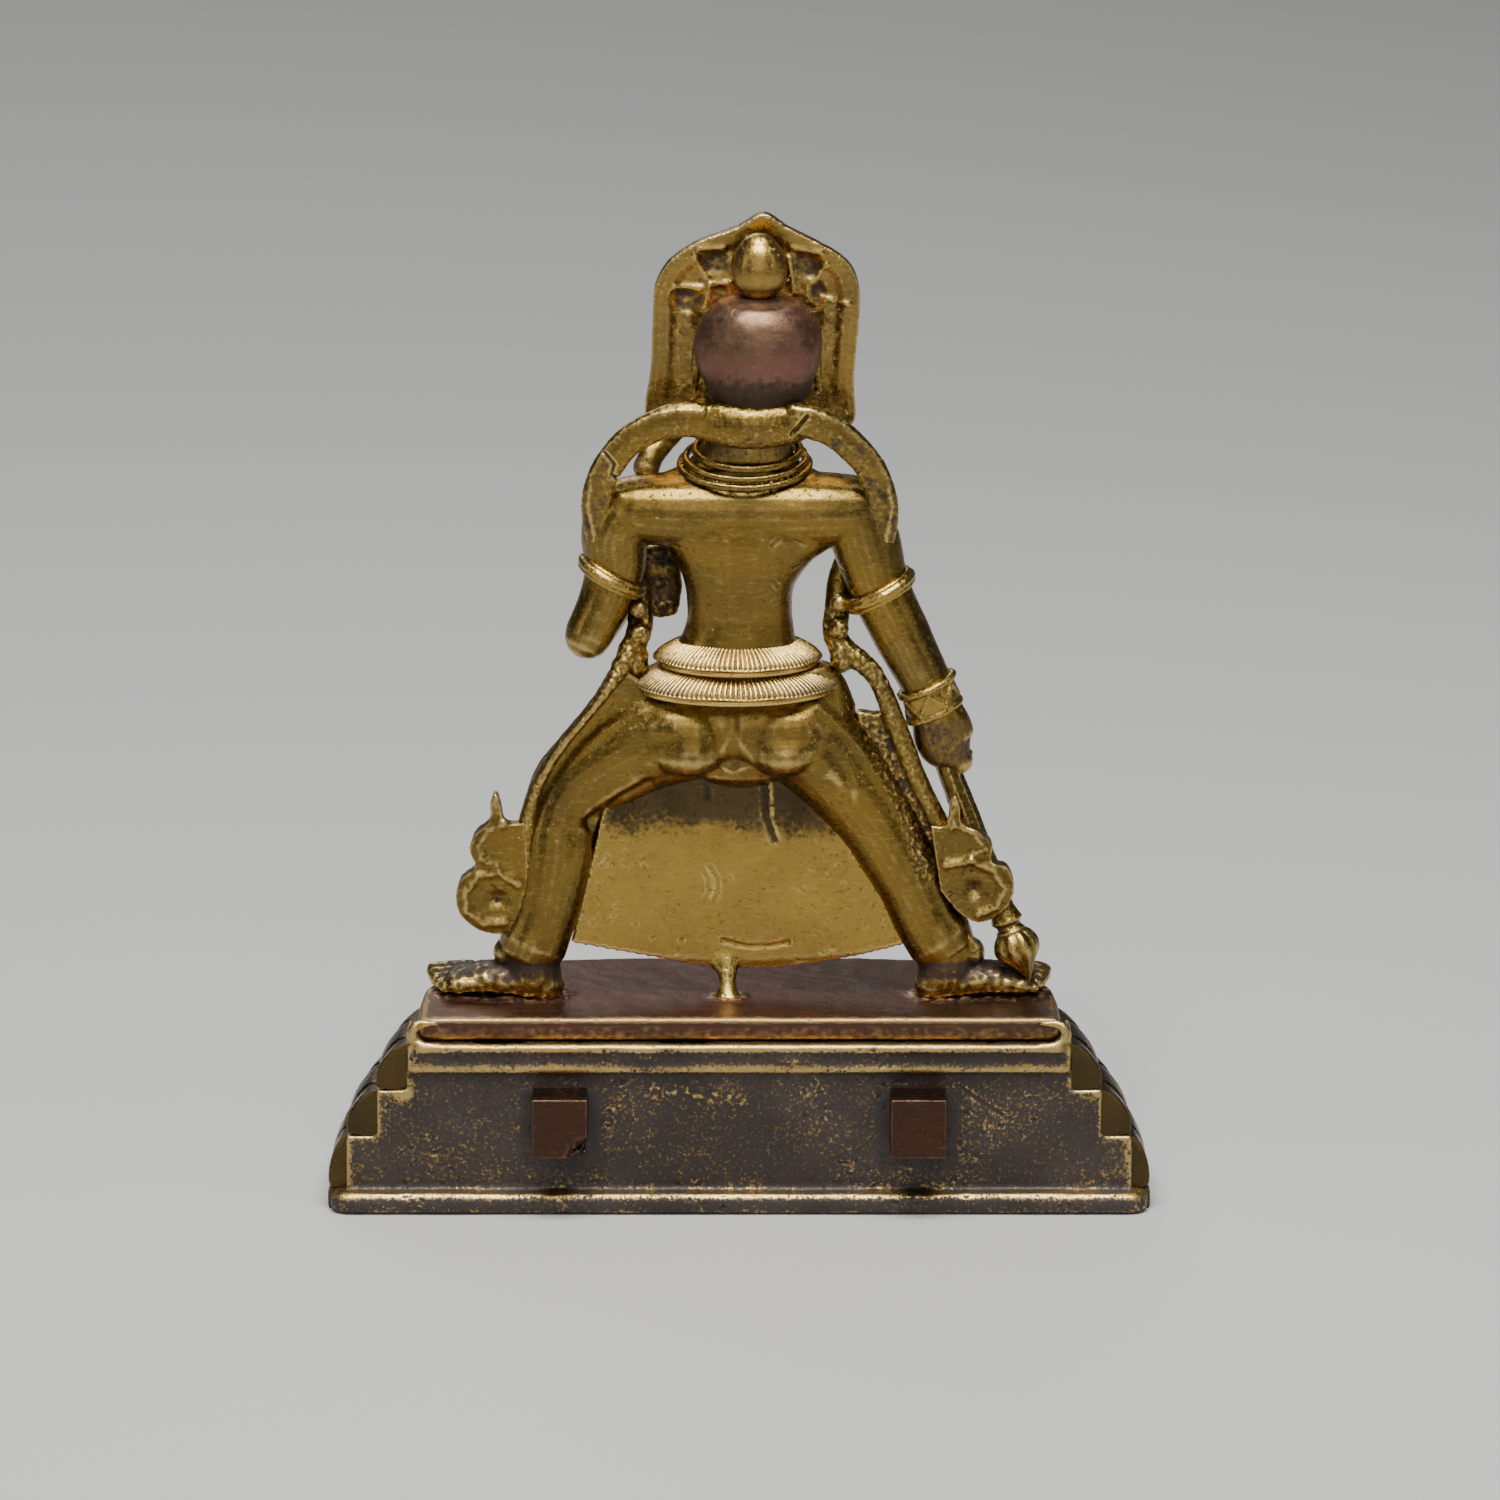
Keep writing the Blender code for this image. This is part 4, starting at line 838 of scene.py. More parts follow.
jewels = {
    "armlets": (
        ((17.6, 1.3, 60.4), (0.55, 0, -1), (4.65, 4.55)), ((-19.5, 1.5, 58.3), (-0.52, 0, -1), (4.75, 4.75)),
    ),
    "bracelets": (
        ((-26.2, 1.4, 44.6), (-0.45, 0, -1), (3.8, 3.9)), ((-27.3, 1.3, 40.9), (-0.45, 0, -1), (3.5, 3.75)),
        ((12.2, -9.8, 59.4), (-0.7, -0.75, 0.55), (2.5, 2.5)),
    ),
    "necklaces": (
        ((-0.8, 1.0, 76.2), (0, 0.32, 1), (9.0, 6.6), 0.5),
        ((-0.9, 1.0, 77.2), (0, 0.32, 1), (8.3, 6.2), 0.5),
        ((-1.2, 1.0, 78.3), (0, 0.30, 1), (7.2, 5.7), 0.6),
        ((-1.0, -1.8, 72.2), (0, 0.66, 1), (9.0, 6.4), 0.7),
    ),
}


def makeJewels():
    shape = bmesh.new()
    for centre, along, radii in jewels["armlets"]:
        way = Vector(along).normalized()
        hoop(shape, centre, along, radii, (0.85, 0.75))
        for shift in (-0.85, 0.85):
            hoop(shape, Vector(centre) + way * shift, along, (radii[0] - 0.1, radii[1] - 0.1), (0.6, 0.35))
    for centre, along, radii in jewels["bracelets"]:
        hoop(shape, centre, along, radii, (0.62, 0.55))
    # the zigzag between the two rims of the right bracelet
    top, foot = Vector(jewels["bracelets"][0][0]), Vector(jewels["bracelets"][1][0])
    lean = Vector(jewels["bracelets"][0][1]).normalized().to_track_quat("Z", "Y").to_matrix()
    hoop(shape, top.lerp(foot, 0.5), jewels["bracelets"][0][1], (3.55, 3.55), (0.4, 1.9))
    for step in range(12):
        ends = []
        for index, share in ((step, 0.2 + 0.6 * (step % 2)), (step + 1, 0.8 - 0.6 * (step % 2))):
            angle = math.tau * index / 12
            spot = top.lerp(foot, share) + lean @ Vector((3.95 * math.cos(angle), 3.95 * math.sin(angle), 0))
            ends.append((*spot, 0.32, 0.32))
        tube(shape, ends, steps=2, sides=8)
    made = cast("armRings", shape, figurePlace, 0.16, 2)
    carve(made, figurePlace, lambda at, out: 0.05 * grain(at, 0.8, 3) + 0.04 * grain(at, 0.4, 4))
    finishSurface(made, figurePlace, clothGilt, near=2, far=14, limit=0.3)
    shape = bmesh.new()
    for centre, along, radii, thick in jewels["necklaces"]:
        hoop(shape, centre, along, radii, (thick, thick))
    ball(shape, (-1.0, -6.8, 67.0), (1.8, 1.2, 2.0))
    for bead in range(9):
        angle = math.pi * (1.2 + 0.6 * bead / 8)
        across, ahead = math.cos(angle), math.sin(angle)
        ball(shape, (-1.0 + 9.0 * across, -1.2 + 6.8 * ahead, 69.0 + 4.2 * (1 + ahead)), (0.9, 0.8, 1.0), 14)
    made = cast("necklaces", shape, figurePlace, 0.16, 2)
    carve(made, figurePlace, lambda at, out: 0.05 * grain(at, 0.9, 3))
    dark = lambda at, out: 0.25 * ramp(0.0, 0.5, out[:, 1])
    finishSurface(made, figurePlace, gilt, dark, near=2, far=14, limit=0.3)


# The crown plate with leaf backs, the hair and its bead, the face and tiara in front

crown = {
    "outline": (
        (10.8, 79.5), (12.6, 83.1), (11.8, 89.2), (11.5, 96.9), (11.2, 100.8), (9.9, 103.7), (7.9, 105.6),
        (5.0, 107.4), (0.0, 109.3), (-3.4, 111.2), (-6.4, 109.3), (-10.4, 107.2), (-14.2, 104.8),
        (-15.9, 102.0), (-16.3, 98.6), (-16.0, 93.8), (-15.5, 87.1), (-15.7, 82.1), (-13.8, 79.5),
    ),
    "hollows": (
        ((3.4, 104.4), (2.4, 1.7), 0.3), ((7.2, 98.9), (2.3, 1.6), 0.1), ((-9.4, 104.0), (1.9, 2.1), -0.4),
        ((-10.9, 100.2), (1.1, 1.6), -0.1),
    ),
    "ridges": (
        ((6.1, 105.2), (3.9, 101.0), (4.7, 98.1), (6.2, 95.5)), ((-6.9, 104.9), (-7.6, 100.2)),
        ((-8.8, 97.2), (-11.2, 94.2)), ((5.4, 106.3), (2.2, 106.3)), ((8.8, 100.9), (5.0, 100.7)),
        ((-7.4, 106.3), (-11.2, 105.7)), ((-11.4, 99.3), (-15.0, 98.5)), ((-12.0, 104.0), (-10.2, 101.6)),
        ((1.0, 101.4), (4.0, 101.2)),
    ),
    "voxel": 0.2,
}


def crownRelief(at, out):
    x, y, z = at.T
    behind = ramp(0.3, 0.8, out[:, 1])
    front = ramp(0.3, 0.8, -out[:, 1])
    edge = awayFrom(at, [tuple(point) for point in through(crown["outline"], 3)])
    field = ramp(1.5, 3.0, edge)
    push = 0.05 * grain(at, 2.5, 1) + 0.04 * grain(at, 0.8, 2)
    push += behind * (-0.40 * field + 0.08 * bell(edge - 0.6, 0.5))
    push += behind * field * (0.16 * grain(at, 1.7, 5) + 0.08 * grain(at, 0.7, 6))
    for centre, radii, lean in crown["hollows"]:
        across = (x - centre[0]) * math.cos(lean) + (z - centre[1]) * math.sin(lean)
        along = (z - centre[1]) * math.cos(lean) - (x - centre[0]) * math.sin(lean)
        push -= behind * 0.42 * ramp(1.35, 0.45, np.sqrt((across / radii[0]) ** 2 + (along / radii[1]) ** 2))
    for ridge in crown["ridges"]:
        push += behind * groove(at, ridge, 0.5, -0.36)
    # flames cut into the front
    swing = np.arctan2(x + 2.4, z - 92.0)
    lick = 1.4 * np.sin(np.hypot(x + 2.4, z - 92.0) * 0.9)
    push += front * ramp(1.0, 2.2, edge) * 0.16 * np.sin(swing * 26 + lick)
    return push


def crownSoil(at, out):
    x, y, z = at.T
    behind = ramp(0.3, 0.8, out[:, 1])
    edge = awayFrom(at, [tuple(point) for point in through(crown["outline"], 3)])
    soilAndShade = 0.10 * ramp(2.0, 3.6, edge) * ramp(91, 96, z) + 0.05 * ramp(2.0, 3.2, edge)
    for centre, radii, lean in crown["hollows"]:
        away = np.sqrt(((x - centre[0]) / radii[0]) ** 2 + ((z - centre[1]) / radii[1]) ** 2)
        soilAndShade += 0.26 * ramp(1.5, 0.7, away)
    for ridge in crown["ridges"]:
        soilAndShade += groove(at, ridge, 0.4, 0.3)
    return np.clip(behind * soilAndShade + 0.1, 0, 1)


def makeCrown():
    shape = bmesh.new()
    outline = [(-2.3 + (x + 2.3) * 1.03, z) for x, z in through(crown["outline"], 4)]
    plate(shape, outline, -0.9, 2.2)
    made = cast("crownPlate", shape, figurePlace, crown["voxel"], 4)
    carve(made, figurePlace, crownRelief)
    finishSurface(made, figurePlace, crownGilt, crownSoil, limit=0.4)


def hairRelief(at, out):
    x, y, z = at.T
    push = 0.24 * grain(at, 4.6, 1) + 0.06 * grain(at, 1.5, 2)
    push += 0.10 * bell(np.hypot(x + 2.7, y - 2.4) - 5.4, 0.5) * ramp(96, 98, z)
    return push


def makeHair():
    shape = bmesh.new()
    tube(shape, (
        (-2.7, 2.4, 86.0, 6.4, 5.5), (-2.7, 2.4, 88.0, 7.5, 6.4), (-2.7, 2.4, 91.0, 8.6, 7.3),
        (-2.7, 2.4, 94.0, 8.9, 7.6), (-2.7, 2.4, 97.0, 8.2, 7.0), (-2.7, 2.4, 98.9, 6.7, 5.8),
        (-2.7, 2.4, 100.0, 4.4, 3.9), (-2.7, 2.4, 100.4, 2.0, 1.8), (-2.7, 2.4, 100.5, 0.6, 0.5),
    ), steps=6, sides=64)
    made = cast("hair", shape, figurePlace, 0.22, 2)
    carve(made, figurePlace, hairRelief)
    # the hair darkened towards its bottom: painted shade under the globe
    finishSurface(made, figurePlace, hairCopper, lambda at, out: 0.9 * ramp(95, 86, at[:, 2]))
    shape = bmesh.new()
    ball(shape, (-2.75, 2.6, 104.2), (3.9, 3.6, 4.7), 48)
    ball(shape, (-2.75, 2.6, 107.2), (2.6, 2.4, 2.0), 32)
    made = cast("hairBead", shape, figurePlace, 0.18, 4)
    carve(made, figurePlace, lambda at, out: 0.07 * grain(at, 2.4, 1) + 0.03 * grain(at, 0.8, 2))
    spots = lambda at, out: 0.3 * ramp(0.0, 0.4, grain(at, 2.0, 8))
    finishSurface(made, figurePlace, crownGilt, spots)


def makeFace():
    shape = bmesh.new()
    middle = -2.4
    ball(shape, (middle, -3.2, 90.0), (7.8, 6.6, 8.6), 48)
    tube(shape, ((middle, -9.4, 92.6, 0.9, 0.9), (middle, -11.0, 89.2, 1.7, 1.2)), sides=16)
    for side in (-1, 1):
        ball(shape, (middle + side * 1.5, -10.3, 89.0), (0.95, 0.9, 0.8), 16)
        ball(shape, (middle + side * 3.1, -8.9, 91.4), (1.6, 1.2, 1.2), 24)
        ball(shape, (middle + side * 4.2, -7.4, 88.0), (2.4, 2.2, 2.0), 24)
        for lid, height in ((1.35, 0.32), (-1.2, 0.26)):
            tube(shape, (
                (middle + side * 1.4, -9.4, 91.3 + lid * 0.3, height, 0.4),
                (middle + side * 3.1, -9.9, 91.4 + lid, height, 0.4),
                (middle + side * 4.9, -8.8, 91.4 + lid * 0.3, height, 0.4),
            ), sides=10)
        tube(shape, (
            (middle + side * 0.9, -9.9, 93.0, 0.7, 0.8), (middle + side * 3.4, -9.2, 94.4, 0.8, 0.8),
            (middle + side * 6.2, -6.6, 93.4, 0.5, 0.6),
        ), sides=12)
        tube(shape, (
            (middle + side * 8.0, -2.0, 92.6, 1.0, 1.4), (middle + side * 8.6, -2.4, 86.0, 1.1, 1.2),
        ), sides=14)
        hoop(shape, (middle + side * 8.8, -3.4, 82.6), (0.2 * side, 1, 0), (2.0, 2.0), (0.8, 0.9), turns=32)
        ball(shape, (middle + side * 8.8, -3.9, 82.6), (1.0, 0.7, 1.0), 18)
    for half, low, ahead, high in ((3.6, 85.0, (-8.0, -9.2), 86.4), (2.8, 84.2, (-8.4, -9.1), 84.3)):
        tube(shape, (
            (middle + half, ahead[0], low, 0.5, 0.6), (middle, ahead[1], high, 0.6, 0.6),
            (middle - half, ahead[0], low, 0.5, 0.6),
        ), sides=12)
    ball(shape, (middle, -7.8, 82.8), (2.8, 1.6, 1.4), 20)
    hoop(shape, (-2.6, -1.6, 96.6), (0, -0.12, 1), (8.6, 7.4), (0.7, 1.0))
    for level in (95.4, 97.8):
        hoop(shape, (-2.6, -1.6, level), (0, -0.12, 1), (8.8, 7.6), (0.5, 0.3))
    for leaf in range(5):
        swing = math.radians((leaf - 2) * 30)
        x, y = -2.6 + 9.0 * math.sin(swing), -1.6 - 7.8 * math.cos(swing)
        tall = 7.6 - 1.1 * abs(leaf - 2)
        tube(shape, (
            (x, y, 96.8, 1.5, 0.8), (x, y - 0.1, 96.8 + tall * 0.4, 2.1, 0.8),
            (x, y, 96.8 + tall * 0.75, 1.2, 0.6), (x, y + 0.2, 96.8 + tall, 0.4, 0.4),
        ), sides=14)
        ball(shape, (x + 0.3 * math.sin(swing), y - 0.7, 96.8 + tall * 0.36), (0.9, 0.7, 1.0), 16)
    made = cast("faceAndTiara", shape, figurePlace, 0.2, 2)
    carve(made, figurePlace, lambda at, out: 0.04 * grain(at, 1.6, 2) + 0.03 * grain(at, 0.6, 3))
    finishSurface(made, figurePlace, gilt, limit=0.4)


# The club: a many-sided shaft, rings, and a ribbed bulb with a point

club = {"top": (-27.9, 0.5, 36.0), "tip": (-40.7, 4.8, 2.9), "ribs": 10}


def makeClub():
    top, tip = Vector(club["top"]), Vector(club["tip"])
    shape = bmesh.new()
    shaft = ((-0.06, 1.5), (0.0, 1.6), (0.30, 1.9), (0.62, 1.9), (0.72, 1.7), (0.80, 1.5))
    tube(shape, [(*top.lerp(tip, share), thick, thick) for share, thick in shaft], steps=1, sides=8)
    knob = ((0.70, 1.7), (0.74, 2.1), (0.757, 2.3), (0.775, 1.7), (0.79, 1.8), (0.80, 2.2), (0.81, 1.9))
    tube(shape, [(*top.lerp(tip, share), thick, thick) for share, thick in knob], steps=3, sides=24)
    made = cast("clubShaft", shape, figurePlace, 0.2, 1)
    carve(made, figurePlace, lambda at, out: 0.04 * grain(at, 1.6, 2) + 0.04 * grain(at, 0.6, 3))
    finishSurface(made, figurePlace, gilt, scarfSoil, limit=0.3)
    shape = bmesh.new()
    bulb = ((0.80, 1.9), (0.82, 2.7), (0.86, 3.3), (0.90, 3.0), (0.945, 1.7), (0.985, 0.7), (1.0, 0.35))
    tube(shape, [(*top.lerp(tip, share), thick, thick) for share, thick in bulb], steps=6, sides=80)
    along = (tip - top).normalized()
    side = along.orthogonal().normalized()
    other = along.cross(side)
    for vert in shape.verts:
        arm = vert.co - top
        away = arm - along * arm.dot(along)
        angle = math.atan2(away.dot(other), away.dot(side))
        vert.co -= away * 0.085 * (1 - abs(math.cos(angle * club["ribs"] / 2))) ** 0.7
    made = toObject("clubBulb", shape, figurePlace)
    finishSurface(made, figurePlace, gilt, near=2, far=8, limit=0.2)


# The foot slab: reddish copper, uneven, rounded over at its edges

slab = {
    "width": 45.0, "depth": 30.2, "bottom": 24.4, "top": 27.6, "power": 3.8, "back": 17.4,
    "edge": ((0.0, 0.9), (0.08, 0.4), (0.25, 0.1), (0.5, 0.0), (0.75, 0.1), (0.92, 0.4), (1.0, 0.9)),
    "spills": (
        ((29.5, 5.8), (6.0, 4.2)), ((38.0, 4.6), (6.0, 4.6)), ((-29.5, 5.8), (6.0, 4.2)),
        ((-38.0, 4.6), (6.0, 4.6)), ((1.6, 7.0), (3.0, 2.6)),
    ),
}


def planOf(halfWidth, reach, power, front, count):
    # evenly spaced points from the right back corner round the front to the left one
    angle = np.linspace(0, math.pi, 4001)
    across, ahead = np.cos(angle), np.sin(angle)
    x = halfWidth * np.sign(across) * abs(across) ** (2 / power)
    y = front - reach * np.clip(ahead, 0, 1) ** (2 / power)
    run = np.concatenate([[0], np.cumsum(np.hypot(np.diff(x), np.diff(y)))])
    spots = np.linspace(0, run[-1], count + 1)
    return np.stack([np.interp(spots, run, x), np.interp(spots, run, y)], 1)


def stackLoops(shape, loops):
    # closed outlines, one above the other, joined into a solid
    made = []
    for points, level in loops:
        verts = bmesh.ops.create_circle(shape, segments=len(points), radius=1)["verts"]
        for vert, point in zip(verts, points):
            vert.co = (point[0], point[1], level)
        made.append(edgesOf(verts))
    for near, far in zip(made, made[1:]):
        bmesh.ops.bridge_loops(shape, edges=near + far)
    bmesh.ops.contextual_create(shape, geom=made[0])
    bmesh.ops.contextual_create(shape, geom=made[-1])


def slabRelief(at, out):
    x, y, z = at.T
    push = 0.10 * grain(at, 9.0, 1) + 0.06 * grain(at, 2.4, 2) + 0.03 * grain(at, 0.9, 3)
    push += 0.10 * bell(z - 27.2, 0.3) * backwards(out, 0.2, 0.7)
    # gilding spilt round the feet and the strut
    spill = np.zeros(len(at))
    for centre, reach in slab["spills"]:
        away = np.sqrt(((x - centre[0]) / reach[0]) ** 2 + ((y - centre[1]) / reach[1]) ** 2)
        spill = np.maximum(spill, ramp(1.15, 0.7, away + 0.2 * grain(at, 1.3, 7)))
    return push + 0.35 * spill * ramp(0.4, 0.9, out[:, 2]) * (1 + 0.6 * grain(at, 0.9, 9))


def slabSoil(at, out):
    x, y, z = at.T
    up = ramp(0.4, 0.9, out[:, 2])
    return up * 0.10 + 0.30 * ramp(25.4, 24.5, z)


def makeSlab():
    shape = bmesh.new()
    loops = []
    for share, inset in slab["edge"]:
        half, reach = slab["width"] - inset, slab["depth"] - inset
        points = planOf(half, reach, slab["power"], slab["back"] - inset * 0.5, 120)
        loops.append((points, slab["bottom"] + (slab["top"] - slab["bottom"]) * share))
    stackLoops(shape, loops)
    made = cast("footSlab", shape, basePlace, 0.36, 2)
    carve(made, basePlace, slabRelief)
    finishSurface(made, basePlace, slabCopper, slabSoil, limit=0.3)


# The base: petals in three rows in front and at the sides, and the stepped back wall

base = {
    "core": (46.4, 31.5), "step": 4.3, "tiers": (7.7, 6.7, 6.7), "bulges": (2.6, 4.3, 4.4),
    "flange": 3.0, "flangeBack": 21.4, "petals": 17, "corePower": 3.8, "petalPower": 2.8, "behind": 17.9,
    "profile": (  # height and bulge of a petal, from its foot
        (0.0, 0.70), (0.04, 0.90), (0.12, 0.99), (0.24, 1.0), (0.38, 0.96), (0.52, 0.87), (0.66, 0.74),
        (0.80, 0.56), (0.92, 0.33), (0.98, 0.14),
    ),
}


def petalLoops():
    perPetal = 14
    count = base["petals"] * perPetal
    across = ((np.arange(count + 1) + perPetal // 2) % perPetal) / perPetal * 2 - 1
    loops = []

    def loopAt(tier, level, bulge, swell, back):
        step = base["step"] * (2 - tier)
        full = base["bulges"][tier]
        half, reach = base["core"][0] + step, base["core"][1] + step
        inner = planOf(half, reach, base["corePower"], ground["wall"], count)
        outer = planOf(half + full, reach + full, base["petalPower"], ground["wall"], count)
        share = (np.clip(swell, 0, 1) * bulge)[:, None]
        run = np.gradient(inner, axis=0)
        outward = np.stack([-run[:, 1], run[:, 0]], 1) / np.linalg.norm(run, axis=1)[:, None]
        points = inner + (outer - inner) * bulge - outward * full * 0.9 * (bulge - share)
        points[:, 1] = np.minimum(points[:, 1], back)
        first, last = points[0][0], points[-1][0]
        rightEnd = [[first - inward, back] for inward in (9.0, 3.0, 1.0, 0.0)]
        leftEnd = [[last + inward, back] for inward in (0.0, 1.0, 3.0, 9.0)]
        loops.append((np.vstack([rightEnd, points, leftEnd]), level))

    smooth = np.ones(count + 1)
    for level, bulge in ((0.0, 0.9), (0.5, 1.0), (2.4, 1.0), (2.9, 0.95)):
        loopAt(0, level, bulge, smooth, base["behind"])
    level = base["flange"]
    for tier, height in enumerate(base["tiers"]):
        for share, bulge in base["profile"]:
            tip = np.sqrt(np.clip(1 - ((0.42 - share) / 0.42) ** 2, 0, 1)) if share < 0.42 else 1.0
            inside = ramp(0.06, -0.10, abs(across) - 0.93 * tip)
            rim = bell(abs(across) - 0.80 * tip, 0.10)
            vein = bell(across, 0.12)
            swell = 0.22 + inside * (0.78 - 0.28 * across**2 + 0.14 * rim - 0.08 * vein)
            loopAt(tier, level + share * height, bulge, swell, base["behind"])
        level += height
    loopAt(2, level, 0.04, smooth * 0.2, base["behind"])
    return loops


def petalSoilAndShade(at, out):
    # random dark patches, and down-facing faces darkened: painted shade
    return 0.25 * ramp(0.0, 0.5, grain(at, 5.0, 3)) + 0.2 * ramp(0.3, 0.9, -out[:, 2])


def gildedBand(at):
    # a slanting trail of gilding between the tenons
    x, y, z = at.T
    return bell(z - 16.2 - 0.1 * x, 1.0) * ramp(16.0, 12.0, x) * ramp(-2.0, 1.0, x)


def wallRelief(at, out):
    x, y, z = at.T
    behind = ramp(0.3, 0.8, out[:, 1])
    push = 0.12 * grain(at, 9.0, 1) + 0.05 * grain(at, 2.6, 2) + 0.035 * grain(at, 0.9, 3)
    push += behind * bump(at, (46.8, 19, 16.9), (1.5, 3, 1.3), 0.40)
    push += bump(at, (13.2, 19.6, 22.6), (2.2, 3, 1.0), 0.45)
    push += bump(at, (-7.2, 19.6, 22.2), (2.0, 3, 0.9), 0.40)
    push += behind * groove(at, ((-30.9, 18.0), (-34.4, 15.4), (-37.9, 13.2)), 0.22, 0.22)
    push -= behind * 0.25 * ramp(0.34, 0.5, grain(at, 0.8, 9)) * ramp(0.1, 0.4, grain(at, 7.0, 19))
    push += behind * 0.22 * gildedBand(at) * ramp(0.0, 0.5, grain(at, 0.7, 12))
    return push * ramp(-0.8, -0.2, out[:, 2])


def wallSoilAndShade(at, out):
    x, y, z = at.T
    uneven = 0.65 + 0.6 * grain(at, 4.0, 51)
    gold = (0.62 * bell(z - 3.2, 0.7) + 0.60 * bell(z - 20.9, 0.7) + 0.60 * bell(z - 23.9, 0.7)) * uneven
    gold += 0.35 * gildedBand(at) * ramp(-0.1, 0.4, grain(at, 0.7, 12))
    gold += 0.55 * bump(at, (46.8, 19, 16.9), (1.3, 3, 1.1), 1.0)
    gold += 0.30 * ramp(0.25, 0.55, grain(at, 3.5, 41)) * ramp(0.0, 0.4, grain(at, 0.9, 43))
    step = np.select([z < 10.7, z < 17.4], [55.0, 50.7], 46.4)
    gold += 0.15 * ramp(1.2, 0.3, abs(step - abs(x))) * uneven + 0.45 * ramp(24.2, 25.0, z)
    # darker round and below the tenons: painted shadow
    tenonShadow = ramp(6.4, 5.0, abs(abs(x) - 25.0)) * ramp(6.6, 4.6, abs(z - 11.6))
    return 0.2 - gold + 0.30 * tenonShadow + 0.25 * ramp(2.6, 2.0, z)


def tenonRelief(at, out):
    lost = ramp(3.4, 1.2, np.hypot(at[:, 0] - 21.1, at[:, 2] - 9.4)) * ramp(17.0, 20.0, at[:, 1])
    return 0.10 * grain(at, 4.0, 3) + 0.06 * grain(at, 1.2, 5) - 0.9 * lost * (1 + 0.5 * grain(at, 0.9, 7))


def makeBase():
    shape = bmesh.new()
    stackLoops(shape, petalLoops())
    made = toObject("petals", shape, basePlace)
    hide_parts("base")
    finishSurface(
        made, basePlace, petalGilt, petalSoilAndShade, near=2, far=8, limit=0.5, sharp=60,
    )

    shape = bmesh.new()
    level = base["flange"]
    for tier, height in enumerate(base["tiers"]):
        half = base["core"][0] + base["step"] * (2 - tier)
        block(shape, (-half, 15.4, level - 0.6), (half, ground["wall"], level + height))
        level += height
    block(shape, (-base["core"][0] + 0.3, 15.4, 20.4), (base["core"][0] - 0.3, 18.9, 24.1))
    tube(shape, ((-45.3, 18.5, 20.7, 0.7, 0.75), (45.3, 18.5, 20.7, 0.7, 0.75)), sides=14)
    tube(shape, ((-44.6, 18.5, 23.6, 0.72, 0.8), (44.6, 18.5, 23.6, 0.72, 0.8)), sides=14)
    # the flange: a rounded lip along the foot of the wall
    lip = []
    for turn in range(7):
        swing = math.radians(15 * turn)
        lip.append((54.7 + 2.6 * math.sin(swing), 18.6 + 2.6 * math.cos(swing)))
    outline = [(x, y) for x, y in [(57.3, 15.4)] + lip[::-1]] + [(-x, y) for x, y in lip + [(57.3, 15.4)]]
    loops = []
    for height, inset in ((0.05, 0.5), (0.5, 0.1), (1.4, 0.0), (2.4, 0.2), (2.95, 0.8)):
        level = [(x - math.copysign(inset, x), y - inset if y > 16 else y) for x, y in outline]
        loops.append((level, height))
    stackLoops(shape, loops)
    for side in (-1, 1):
        # curled lips that clasp the ends of the slab
        tube(shape, (
            (side * 42.0, 18.5, 23.7, 0.72, 0.8), (side * 44.2, 18.4, 23.9, 0.75, 0.75),
            (side * 45.3, 18.2, 24.7, 0.8, 0.75), (side * 45.6, 18.0, 25.7, 0.8, 0.75),
            (side * 45.1, 17.9, 26.6, 0.75, 0.7), (side * 43.9, 17.8, 27.0, 0.6, 0.6),
            (side * 42.2, 17.7, 27.0, 0.35, 0.5),
        ), sides=14)
        block(shape, (side * 45.85 - 0.4, 13.4, 23.6), (side * 45.85 + 0.4, 18.2, 26.4))
    made = cast("backWall", shape, basePlace, 0.32, 3)
    carve(made, basePlace, wallRelief)
    finishSurface(made, basePlace, wallBrown, wallSoilAndShade, near=3, far=30, limit=0.5)

    # tenons: the left one has lost its inner lower corner
    shape = bmesh.new()
    for centre in (-25.0, 25.0):
        block(shape, (centre - 3.9, 15.4, 9.4), (centre + 3.9, 24.2, 17.8))
    made = cast("tenons", shape, basePlace, 0.2, 3)
    carve(made, basePlace, tenonRelief)
    finishSurface(made, basePlace, tenonBrown, near=3, far=20, limit=0.4)


makeBody()
makeCloth()
makeScarves()
makeBelt("upperBelt", belts["upper"])
makeBelt("lowerBelt", belts["lower"])
makeJewels()
makeCrown()
makeHair()
makeFace()
makeClub()
makeSlab()
makeBase()
print("pieces made")


# Floor, lights and camera

studio = {
    "floor": (0.43, 0.425, 0.418), "sky": (0.10, 0.10, 0.104), "lens": 205.7, "elevation": 15.0, "away": 1.2,
}


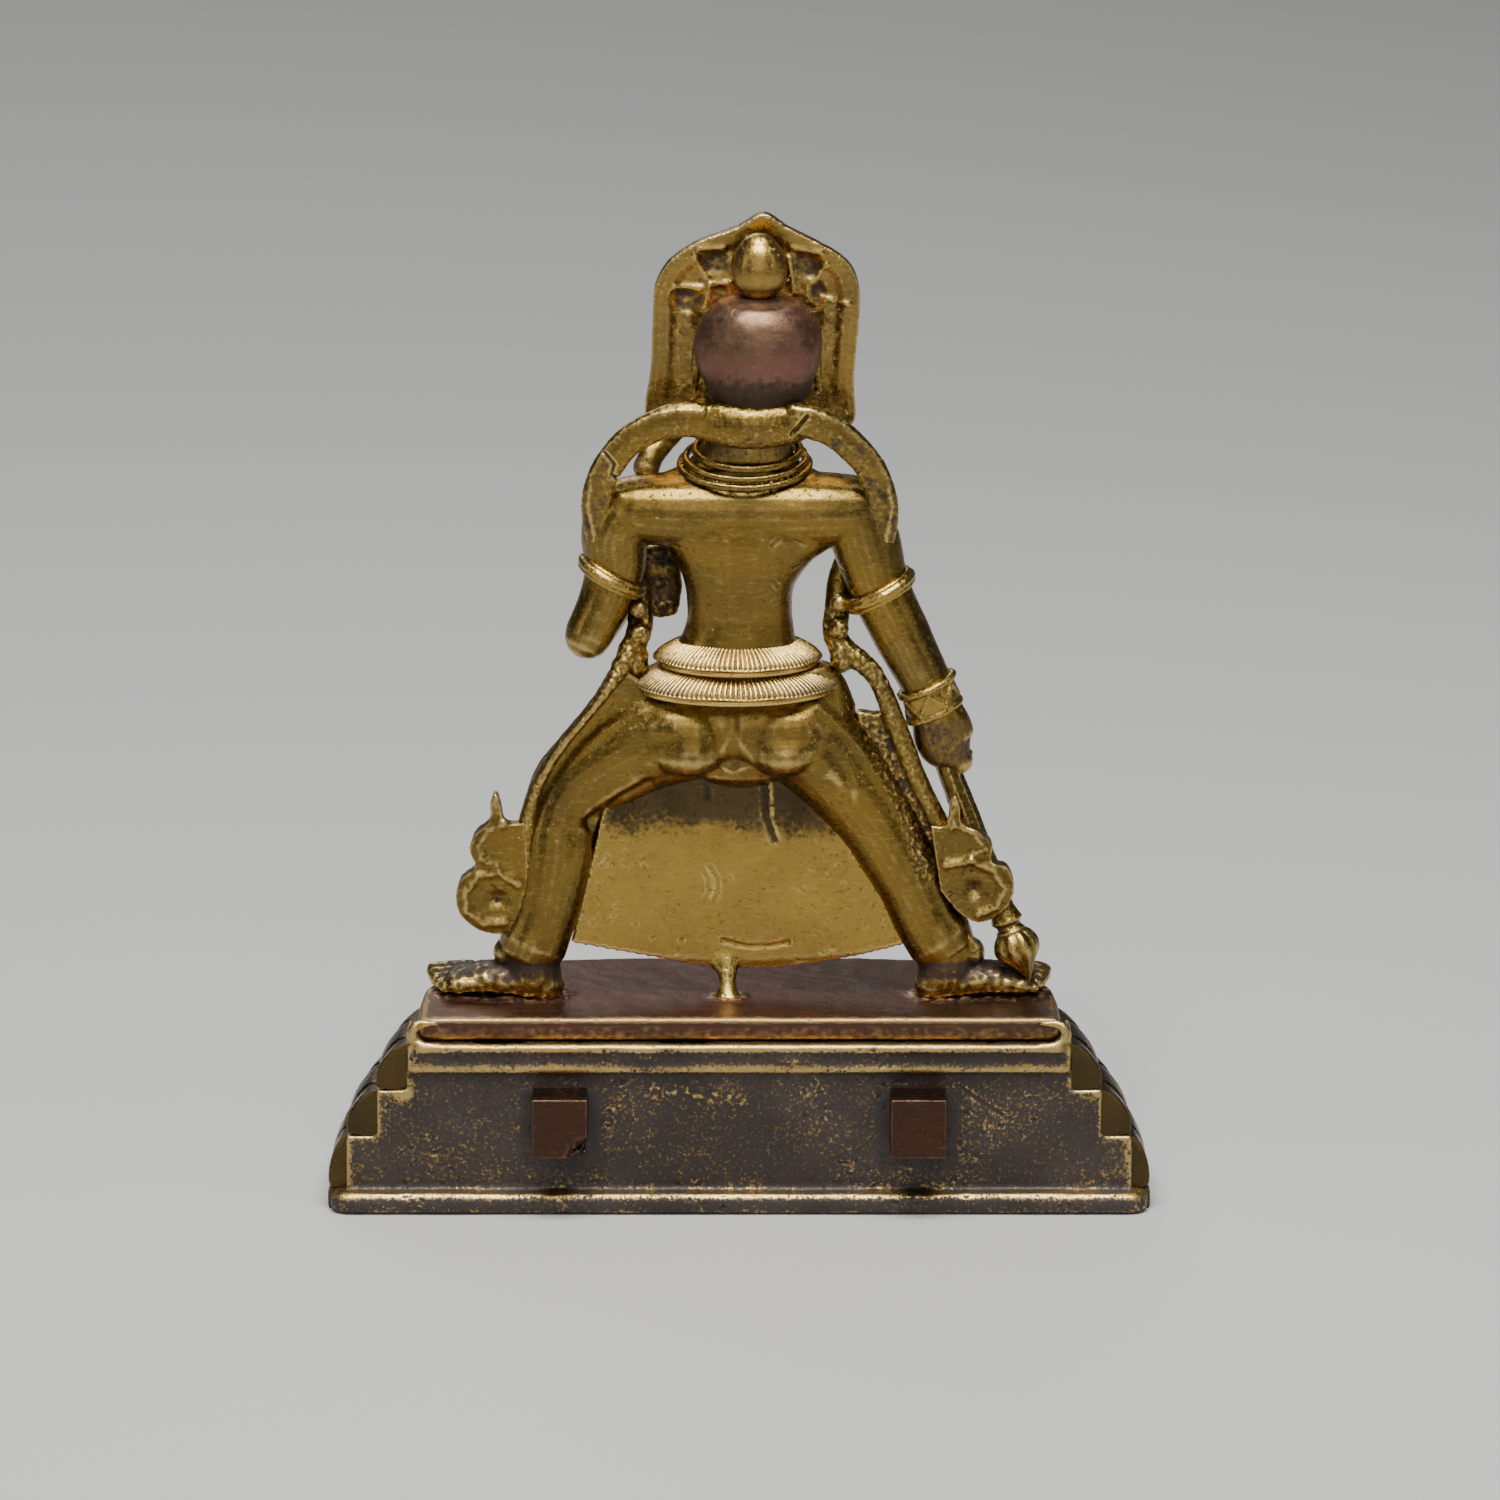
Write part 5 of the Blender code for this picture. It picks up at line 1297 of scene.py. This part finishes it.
def makeStudio():
    shape = bmesh.new()
    bmesh.ops.create_grid(shape, x_segments=2, y_segments=2, size=5.0)
    floor = toObject("floor", shape, Matrix.Translation((0, 0, 0)))
    paint = bpy.data.materials.new("paleFloor")
    paint.use_nodes = True
    paint.node_tree.nodes["Principled BSDF"].inputs["Base Color"].default_value = (*studio["floor"], 1)
    paint.node_tree.nodes["Principled BSDF"].inputs["Roughness"].default_value = 0.75
    floor.data.materials.append(paint)
    world = bpy.data.worlds.new("studioAir")
    bpy.context.scene.world = world
    world.use_nodes = True
    world.node_tree.nodes["Background"].inputs["Color"].default_value = (*studio["sky"], 1)
    for name, spot, size, power in (
        ("topBox", (0.0, 0.24, 0.78), (0.58, 0.38), 13.0),
        ("cameraBox", (0.0, 1.50, 0.84), (1.4, 1.5), 7.2),
        ("leftBox", (0.95, 0.55, 0.45), (0.25, 0.7), 1.2),
        ("rightBox", (-0.95, 0.55, 0.45), (0.25, 0.7), 0.9),
        ("frontBox", (0.3, -1.0, 0.8), (0.6, 0.6), 3.6),
    ):
        lamp = bpy.data.lights.new(name, "AREA")
        lamp.shape = "RECTANGLE"
        lamp.size, lamp.size_y = size
        lamp.energy = power
        made = bpy.data.objects.new(name, lamp)
        made.location = spot
        made.rotation_euler = (Vector((0, 0, 0.07)) - Vector(spot)).to_track_quat("-Z", "Y").to_euler()
        bpy.context.scene.collection.objects.link(made)
    camera = bpy.data.cameras.new("camera")
    camera.sensor_width = 36
    camera.lens = studio["lens"]
    camera.shift_x = 0.0073
    camera.shift_y = -0.0366
    camera.clip_start = 0.05
    camera.clip_end = 20
    stand = bpy.data.objects.new("camera", camera)
    lift = math.radians(studio["elevation"])
    centre = Vector((0, 0.00115, 0.070))
    stand.location = centre + Vector((0, math.cos(lift), math.sin(lift))) * studio["away"]
    stand.rotation_euler = (centre - stand.location).to_track_quat("-Z", "Y").to_euler()
    bpy.context.scene.collection.objects.link(stand)
    bpy.context.scene.camera = stand


makeStudio()
print("studio made")
